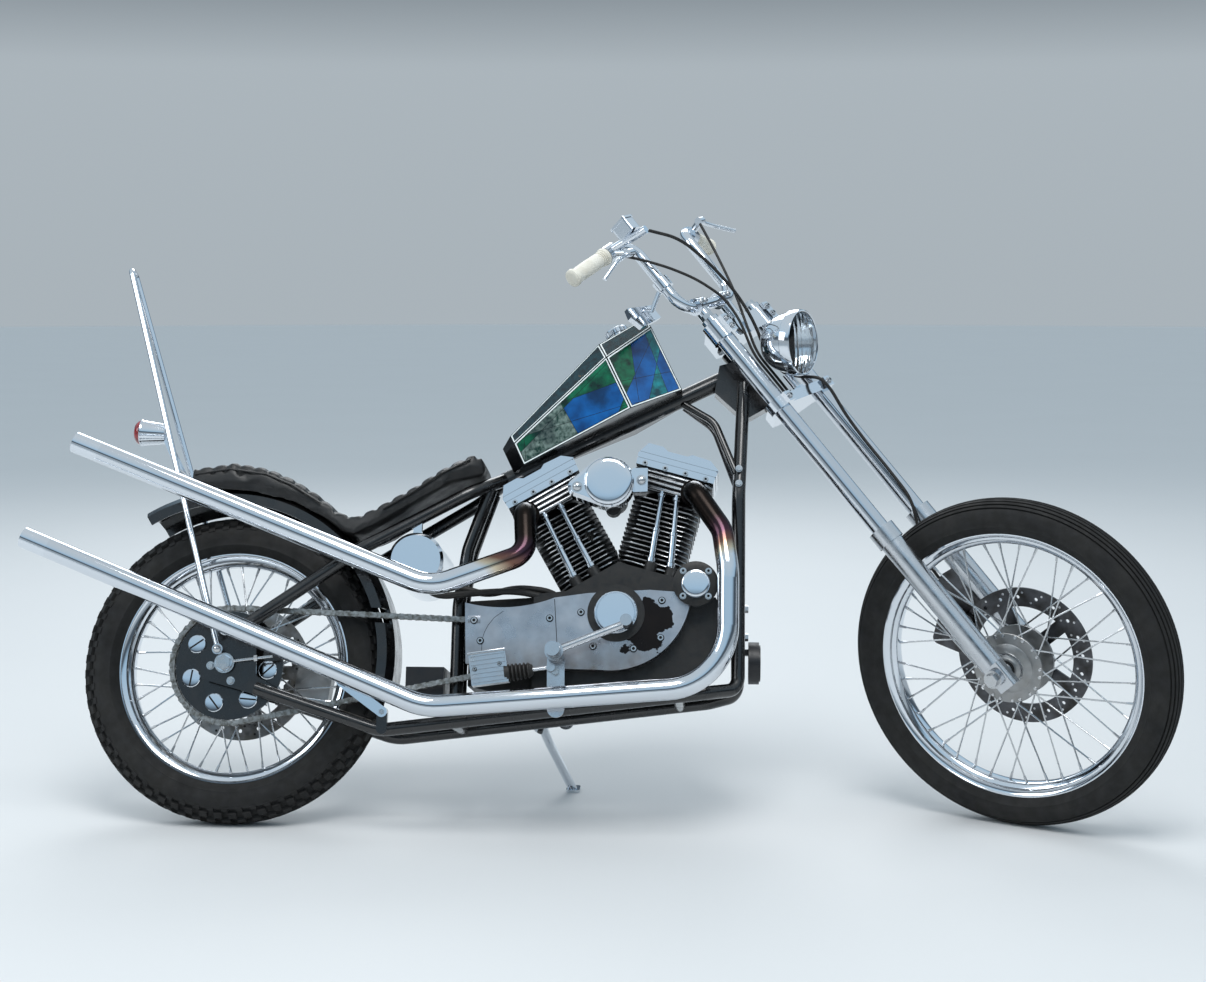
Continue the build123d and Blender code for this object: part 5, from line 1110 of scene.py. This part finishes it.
# Screws and nuts: name, frame that they are drawn in, body, kind, radius, way out, points
SCREWS = (
    ("cover_screws", BIKE, "frame", "sunk", 6.2, (0, -1, 0), (
        (519, -128, 417), (533, -128, 375), (675, -128, 423), (739, -128, 436), (765, -128, 366),
        (905, -128, 462), (903, -128, 385), (848, -128, 362),
    )),
    ("master_screws", BIKE, "frame", "sunk", 3.6, (0, -1, 0), (
        (527, -160.6, 313), (577, -160.6, 325),
    )),
    ("timing_screws", BIKE, "frame", "socket", 5.5, (0, -1, 0), (
        (948, -139.8, 522), (1000, -139.8, 522), (948, -139.8, 470), (1000, -139.8, 470),
    )),
    ("primary_screws", BIKE, "frame", "socket", 6, (0, 1, 0), (
        (545, 137, 440), (545, 137, 335), (640, 137, 470), (740, 137, 476), (840, 137, 480),
        (900, 137, 440), (905, 137, 345), (820, 137, 306), (720, 137, 304), (620, 137, 302),
    )),
    ("derby_screws", BIKE, "frame", "socket", 4, (0, 1, 0), (
        (606, 145, 428), (606, 145, 352), (568, 145, 390), (644, 145, 390),
    )),
    ("cleaner_bolt", BIKE, "frame", "dome", 9, (0, -1, 0), (
        (728, -160, 693), (859, -120, 716),
    )),
    ("pipe_nuts", BIKE, "frame", "hex", 6, (0, -1, 0), (
        (335, -130, 227), (250, -130, 288),
    )),
    ("axle_hex", BIKE, "frame", "hex", 17, (0, -1, 0), ((0, -114, 325),)),
    ("axle_hex_left", BIKE, "frame", "hex", 17, (0, 1, 0), ((0, 114, 325),)),
    ("plate_bolts", BIKE, "frame", "hex", 7, (0, -1, 0), (
        (14, -108, 289), (-30, -108, 320), (45, -108, 400),
    )),
    ("backrest_nuts", BIKE, "frame", "dome", 8, (0, -1, 0), ((-14, -124, 353),)),
    ("backrest_nuts_left", BIKE, "frame", "dome", 8, (0, 1, 0), ((-14, 124, 353),)),
    ("bracket_bolts", BIKE, "frame", "hex", 8, (0, -1, 0), ((692, -138, 262), (690, -138, 312))),
    ("engine_mounts", BIKE, "frame", "hex", 9, (1, 0, 0), ((1076, 0, 405), (1076, 0, 465))),
    ("downtube_bolts", BIKE, "frame", "hex", 6, (0, -1, 0), (
        (1062, -74, 752), (1062, -76, 720),
    )),
    ("fork_hex", FORK, "fork", "hex", 15, (0, -1, 0), ((48.9, -119.5, 0),)),
    ("fork_hex_left", FORK, "fork", "hex", 15, (0, 1, 0), ((48.9, 119.5, 0),)),
    ("riser_nuts", FORK, "fork", "dome", 6, (1, 0, 0), (
        (50, -60, 1004), (50, -42, 1004), (50, 42, 1004), (50, 60, 1004),
    )),
    ("fork_caps", FORK, "fork", "hex", 15, (0, 0, 1), (
        (54.9, -92.5, 954), (54.9, 92.5, 954),
    )),
    ("clamp_bolts", FORK, "fork", "socket", 6, (1, 0, 0), (
        (88.9, -92.5, 716), (88.9, 92.5, 716), (88.9, -92.5, 910), (88.9, -92.5, 930),
        (88.9, 92.5, 910), (88.9, 92.5, 930),
    )),
    ("stem_nut", FORK, "fork", "hex", 18, (0, 0, 1), ((0, 0, 942),)),
)


class CHOPPER_OT_screws(bpy.types.Operator):
    """Screws, bolts and nuts on the engine, frame and fork"""
    bl_idname = "chopper.screws"
    bl_label = "Screws and Nuts"

    def execute(self, context):
        for name, place, body, kind, radius, way, points in SCREWS:
            bm = bmesh.new()
            for point in points:
                add_screw(bm, at(place, point, way), radius, kind)
            make_piece(name, bm, body, ["zinc_steel", "dark_recess"])
        bm = bmesh.new()
        for lean in (REAR_LEAN, FRONT_LEAN):
            axis, along = cylinder_axes(lean)
            for ahead in (-66, -22, 22, 66):
                for way in (-1, 1):
                    spot = CRANK + axis * 367 + along * ahead + Vector((0, way * 88.2, 0))
                    add_screw(bm, at(BIKE, spot, (0, way, 0)), 5, "socket")
        make_piece("rocker_screws", bm, "frame", ["zinc_steel", "dark_recess"])
        return {"FINISHED"}


class CHOPPER_OT_covers(bpy.types.Operator):
    """Domed covers, the timing cover's ring, and the right cover's seams and tab"""
    bl_idname = "chopper.covers"
    bl_label = "Engine Covers"

    def execute(self, context):
        bm = bmesh.new()
        for point, steps, dome in (
            ((792, -160, 705), 72, (
                (-0.5, 0), (-0.5, 50), (1.5, 49.6), (3.6, 47.6), (5, 44.5), (5.6, 41), (6, 24),
                (6.1, 0),
            )),
            ((811, -146, 435), 64, (
                (-5, 0), (-5, 43.4), (0.6, 43.4), (1.8, 42.4), (2, 40.6), (0.8, 39.6), (0.8, 38.8),
                (1.8, 38), (2, 20), (2, 0),
            )),
            ((974, -147, 496), 48, (
                (-0.5, 0), (-0.5, 28.2), (0.4, 28), (1.4, 26.6), (2, 22), (2.2, 0),
            )),
        ):
            add_turned(bm, at(BIKE, point, (0, -1, 0)), dome, steps, closed=False)
        make_piece("domed_covers", bm, "frame", ["chrome_plate"])
        turned_piece(
            "timing_ring", at(BIKE, (974, -139, 496), (0, -1, 0)),
            [(0, 29), (0, 46.2), (0.5, 46.6), (0.8, 46), (0.8, 29)], 56, "frame",
            "engine_black", closed=True,
        )
        bm = bmesh.new()
        for radius, seam in (
            (0.7, ((684, 463), (694, 330))),
            (0.5, ((536, 352), (537, 379), (541, 393), (548, 407), (560, 423), (579, 437))),
        ):
            points = [(x, COVER_Y, z) for x, z in seam]
            for first, last in zip(points, points[1:]):
                add_rod(bm, BIKE, first, last, radius, 6)
        make_piece("cover_seam", bm, "frame", ["dark_recess"])
        bm = bmesh.new()
        tab = Matrix.Translation((519, COVER_Y - 0.2, 419))
        add_block(bm, BIKE @ tab, (26, 1.2, 15), 0.3)
        make_piece("cover_tab", bm, "frame", ["worn_aluminium"])
        return {"FINISHED"}


class CHOPPER_OT_linkage(bpy.types.Operator):
    """Lip and boot of the rear master cylinder, and the rear axle's adjusters"""
    bl_idname = "chopper.linkage"
    bl_label = "Master Cylinder and Adjusters"

    def execute(self, context):
        slope = radians(8.3)
        bm = bmesh.new()
        lip = Matrix.Translation((549.9, -160.5, 349)) @ Matrix.Rotation(-slope, 4, "Y")
        add_block(bm, BIKE @ lip, (77, 5, 5), 1)
        make_piece("master_lip", bm, "frame", ["polished_aluminium"])
        boot = [(-1, 0), (-1, 18)]
        for along, big, small in (
            (8, 18, 13), (16, 18, 13), (24, 18, 13), (32, 17, 12), (40, 17, 12), (48, 16, 13.5),
        ):
            boot += [(along - 1.2, big), (along + 1.2, big), (along + 4, small)]
        boot += [(56.6, 11), (56.6, 0)]
        turned_piece(
            "master_boot", at(BIKE, (588.1, -146, 306.4), (cos(slope), 0, sin(slope))), boot, 32,
            "frame", "hose_rubber",
        )
        bm = bmesh.new()
        for y in (-113, 113):
            add_rod(bm, BIKE, (18, y, 329), (100, y, 340), 3, 10)
            nut = [(0, 0), (0, 7), (7, 7), (7, 0)]
            add_turned(bm, at(BIKE, (62, y, 334.9), (82, 0, 11)), nut, 6, closed=False)
        make_piece("axle_adjusters", bm, "frame", ["zinc_steel"])
        return {"FINISHED"}


class CHOPPER_OT_rods(bpy.types.Operator):
    """Collars on the pushrod tubes, and the wires between the cylinders"""
    bl_idname = "chopper.rods"
    bl_label = "Rod Collars and Wires"

    def execute(self, context):
        bm = bmesh.new()
        foot_level = CRANK + Vector((0, -80, 0))
        for lean, foot, top in (
            (REAR_LEAN, -35, -25), (REAR_LEAN, 8, 14), (FRONT_LEAN, 5, -15), (FRONT_LEAN, 49, 17),
        ):
            axis, along = cylinder_axes(lean)
            low = foot_level + axis * 148 + along * foot
            high = foot_level + axis * 319 + along * top
            run = (high - low).normalized()
            span = (high - low).length
            for share, radius, length in ((0.12, 9.2, 10), (0.5, 8.4, 8), (0.93, 8.2, 8)):
                collar = [
                    (0, 0), (0, radius - 1), (1, radius), (length - 1, radius),
                    (length, radius - 1), (length, 0),
                ]
                add_turned(bm, at(BIKE, low + run * span * share, run), collar, 20, closed=False)
        make_piece("rod_collars", bm, "frame", ["chrome_plate"])
        bm = bmesh.new()
        for number in range(3):
            x = 744 + number * 6
            add_rod(bm, BIKE, (x, -40, 640), (x, -90, 600 - number * 4), 2.4, 8)
        make_piece("wire_bundle", bm, "frame", ["hose_rubber"])
        return {"FINISHED"}


# Finishes of the CAD nodes that stay as they are
NODE_FINISHES = {
    "chrome_plate": (
        "handlebar upper_clamp hand_controls mirror rocker_covers pushrod_tubes air_cleaner "
        "sissy_bar tail_lamp oil_tank rear_axle front_axle side_stand lower_clamp round_covers "
        "exhaust_tips"
    ),
    "header_chrome": "exhaust_upper exhaust_lower",
    "hard_chrome": "fork_tubes",
    "polished_aluminium": "fork_sliders rear_master_cylinder primary_cover foot_controls",
    "dull_aluminium": "rear_caliper",
    "worn_aluminium": "right_engine_cover",
    "disc_steel": "rear_brake_disc",
    # The front disc and caliper take the darker brake steel, which is painted shade.
    "painted_shade_disc_steel": "front_brake_disc front_caliper",
    "engine_black": "crankcase carburettor",
    "black_enamel": (
        "frame_neck frame_backbone frame_downtubes frame_rails axle_plates frame_seat_stays "
        "frame_seat_posts rear_fender stand_bracket rear_sprocket"
    ),
    "hose_rubber": "fork_cables oil_hoses",
    "black_plastic": "battery_box horn",
}


class CHOPPER_OT_finishes(bpy.types.Operator):
    """Finishes on the solids that stay as they are"""
    bl_idname = "chopper.finishes"
    bl_label = "Finishes"

    def execute(self, context):
        look = context.scene.chopper_colours
        make_finishes((*look.blue_tint, 1), (*look.green_tint, 1))
        for finish, names in NODE_FINISHES.items():
            for name in names.split():
                for material_slot in frame["nodes"][name].material_slots:
                    material_slot.material = FINISHES[finish]
        return {"FINISHED"}


# Camera, from the rear axle along X and Y and above the floor, in metres, and the lamps' aim
CAMERA_FROM_AXLE = (1.018, -4.113)
CAMERA_HEIGHT = 1.151
CAMERA_TURN = (radians(83.725), 0, radians(3.323))
CAMERA_LENS = 59.41
AIM = Vector((0, 0, 0.5))


class CHOPPER_OT_stage(bpy.types.Operator):
    """Pale floor, soft light, sky and the camera"""
    bl_idname = "chopper.stage"
    bl_label = "Stage"

    def execute(self, context):
        scene = context.scene
        bm = bmesh.new()
        bmesh.ops.create_circle(bm, cap_ends=True, segments=96, radius=40)
        mesh = bpy.data.meshes.new("floor")
        bm.to_mesh(mesh)
        bm.free()
        floor = bpy.data.objects.new("floor", mesh)
        scene.collection.objects.link(floor)
        # Smooth pale concrete: nearly even, with faint wide clouds.
        look = start_finish("pale_concrete", "#D7D8D8", 0, 0.75)
        mottle(*look, 900, "#DADBDB", "#D7D8D8", 2, 0.5)
        mesh.materials.append(FINISHES["pale_concrete"])

        world = bpy.data.worlds.new("sky")
        scene.world = world
        world.use_nodes = True
        tree = world.node_tree
        place = add_node(tree, "ShaderNodeTexCoord").outputs["Generated"]
        height = add_node(tree, "ShaderNodeSeparateXYZ", {"Vector": place}).outputs["Z"]
        sky = add_node(tree, "ShaderNodeValToRGB", {"Fac": height})
        fill_stops(sky, (
            (0, "#B2BCC3"), (0.10, "#B4BEC5"), (0.17, "#5E6A74"), (0.28, "#4F5A64"),
            (0.38, "#B9D8EF"), (0.62, "#D3E4F0"), (1, "#DCE5EB"),
        ))
        tree.links.new(tree.nodes["Background"].inputs["Color"], sky.outputs["Color"])
        tree.nodes["Background"].inputs["Strength"].default_value = 0.9

        for name, spot, size, energy in (
            ("key_lamp", (0.4, -2.6, 5.4), 2.6, 170),
            ("fill_lamp", (-4.4, -2.6, 3.0), 2.4, 50),
            ("back_lamp", (-0.6, 4.2, 4.0), 3.0, 90),
        ):
            lamp = bpy.data.lights.new(name, "AREA")
            lamp.size = size
            lamp.energy = energy
            item = bpy.data.objects.new(name, lamp)
            scene.collection.objects.link(item)
            item.location = spot
            item.rotation_euler = (AIM - Vector(spot)).to_track_quat("-Z", "Y").to_euler()

        camera = bpy.data.cameras.new("camera")
        camera.lens = CAMERA_LENS
        camera.sensor_fit = "HORIZONTAL"
        camera.sensor_width = 36
        item = bpy.data.objects.new("camera", camera)
        scene.collection.objects.link(item)
        ahead, across = CAMERA_FROM_AXLE
        item.location = (REAR_AXLE.x + ahead, REAR_AXLE.y + across, CAMERA_HEIGHT)
        item.rotation_euler = CAMERA_TURN
        scene.camera = item
        scene.view_settings.view_transform = "Standard"
        return {"FINISHED"}


class ChopperSizes(bpy.types.PropertyGroup):
    """Sizes of the fine pieces"""
    tread_depth: bpy.props.FloatProperty(
        name="Tread Depth", description="Height of the rear tyre's blocks", default=0.0065,
        min=0.002, max=0.009, unit="LENGTH",
    )
    spoke_diameter: bpy.props.FloatProperty(
        name="Spoke Diameter", description="Thickness of the spokes", default=0.0036, min=0.002,
        max=0.005, unit="LENGTH",
    )
    pleat_pitch: bpy.props.FloatProperty(
        name="Pleat Pitch", description="Distance between the seat's sewn channels", default=0.03,
        min=0.015, max=0.08, unit="LENGTH",
    )


class ChopperColours(bpy.types.PropertyGroup):
    """Colours of the tank's enamels"""
    blue_tint: bpy.props.FloatVectorProperty(
        name="Blue Enamel", description="Colour of the tank's blue fields", subtype="COLOR",
        default=srgb("#0D60A8"), min=0, max=1,
    )
    green_tint: bpy.props.FloatVectorProperty(
        name="Green Enamel", description="Colour of the tank's green fields", subtype="COLOR",
        default=srgb("#0E6E4A"), min=0, max=1,
    )


OPERATORS = (
    CHOPPER_OT_finishes, CHOPPER_OT_tyres, CHOPPER_OT_rims, CHOPPER_OT_spokes, CHOPPER_OT_chain,
    CHOPPER_OT_brakes, CHOPPER_OT_tank, CHOPPER_OT_seat, CHOPPER_OT_lamps, CHOPPER_OT_grips,
    CHOPPER_OT_fins, CHOPPER_OT_screws, CHOPPER_OT_covers, CHOPPER_OT_linkage, CHOPPER_OT_rods,
    CHOPPER_OT_stage,
)


class CHOPPER_PT_sidebar(bpy.types.Panel):
    """Lists the steps and their sizes"""
    bl_idname = "CHOPPER_PT_sidebar"
    bl_label = "Chopper"
    bl_space_type = "VIEW_3D"
    bl_region_type = "UI"
    bl_category = "Chopper"

    def draw(self, context):
        for group in (context.scene.chopper_sizes, context.scene.chopper_colours):
            for name in group.__annotations__:
                self.layout.prop(group, name)
        for step in OPERATORS:
            self.layout.operator(step.bl_idname)


CLASSES = (ChopperSizes, ChopperColours, *OPERATORS, CHOPPER_PT_sidebar)


def register():
    for item in CLASSES:
        bpy.utils.register_class(item)
    bpy.types.Scene.chopper_sizes = bpy.props.PointerProperty(type=ChopperSizes)
    bpy.types.Scene.chopper_colours = bpy.props.PointerProperty(type=ChopperColours)


def unregister():
    del bpy.types.Scene.chopper_colours
    del bpy.types.Scene.chopper_sizes
    for item in reversed(CLASSES):
        bpy.utils.unregister_class(item)


def main():
    register()
    for step in OPERATORS:
        getattr(bpy.ops.chopper, step.bl_idname.split(".")[1])()


if __name__ == "__main__":
    main()
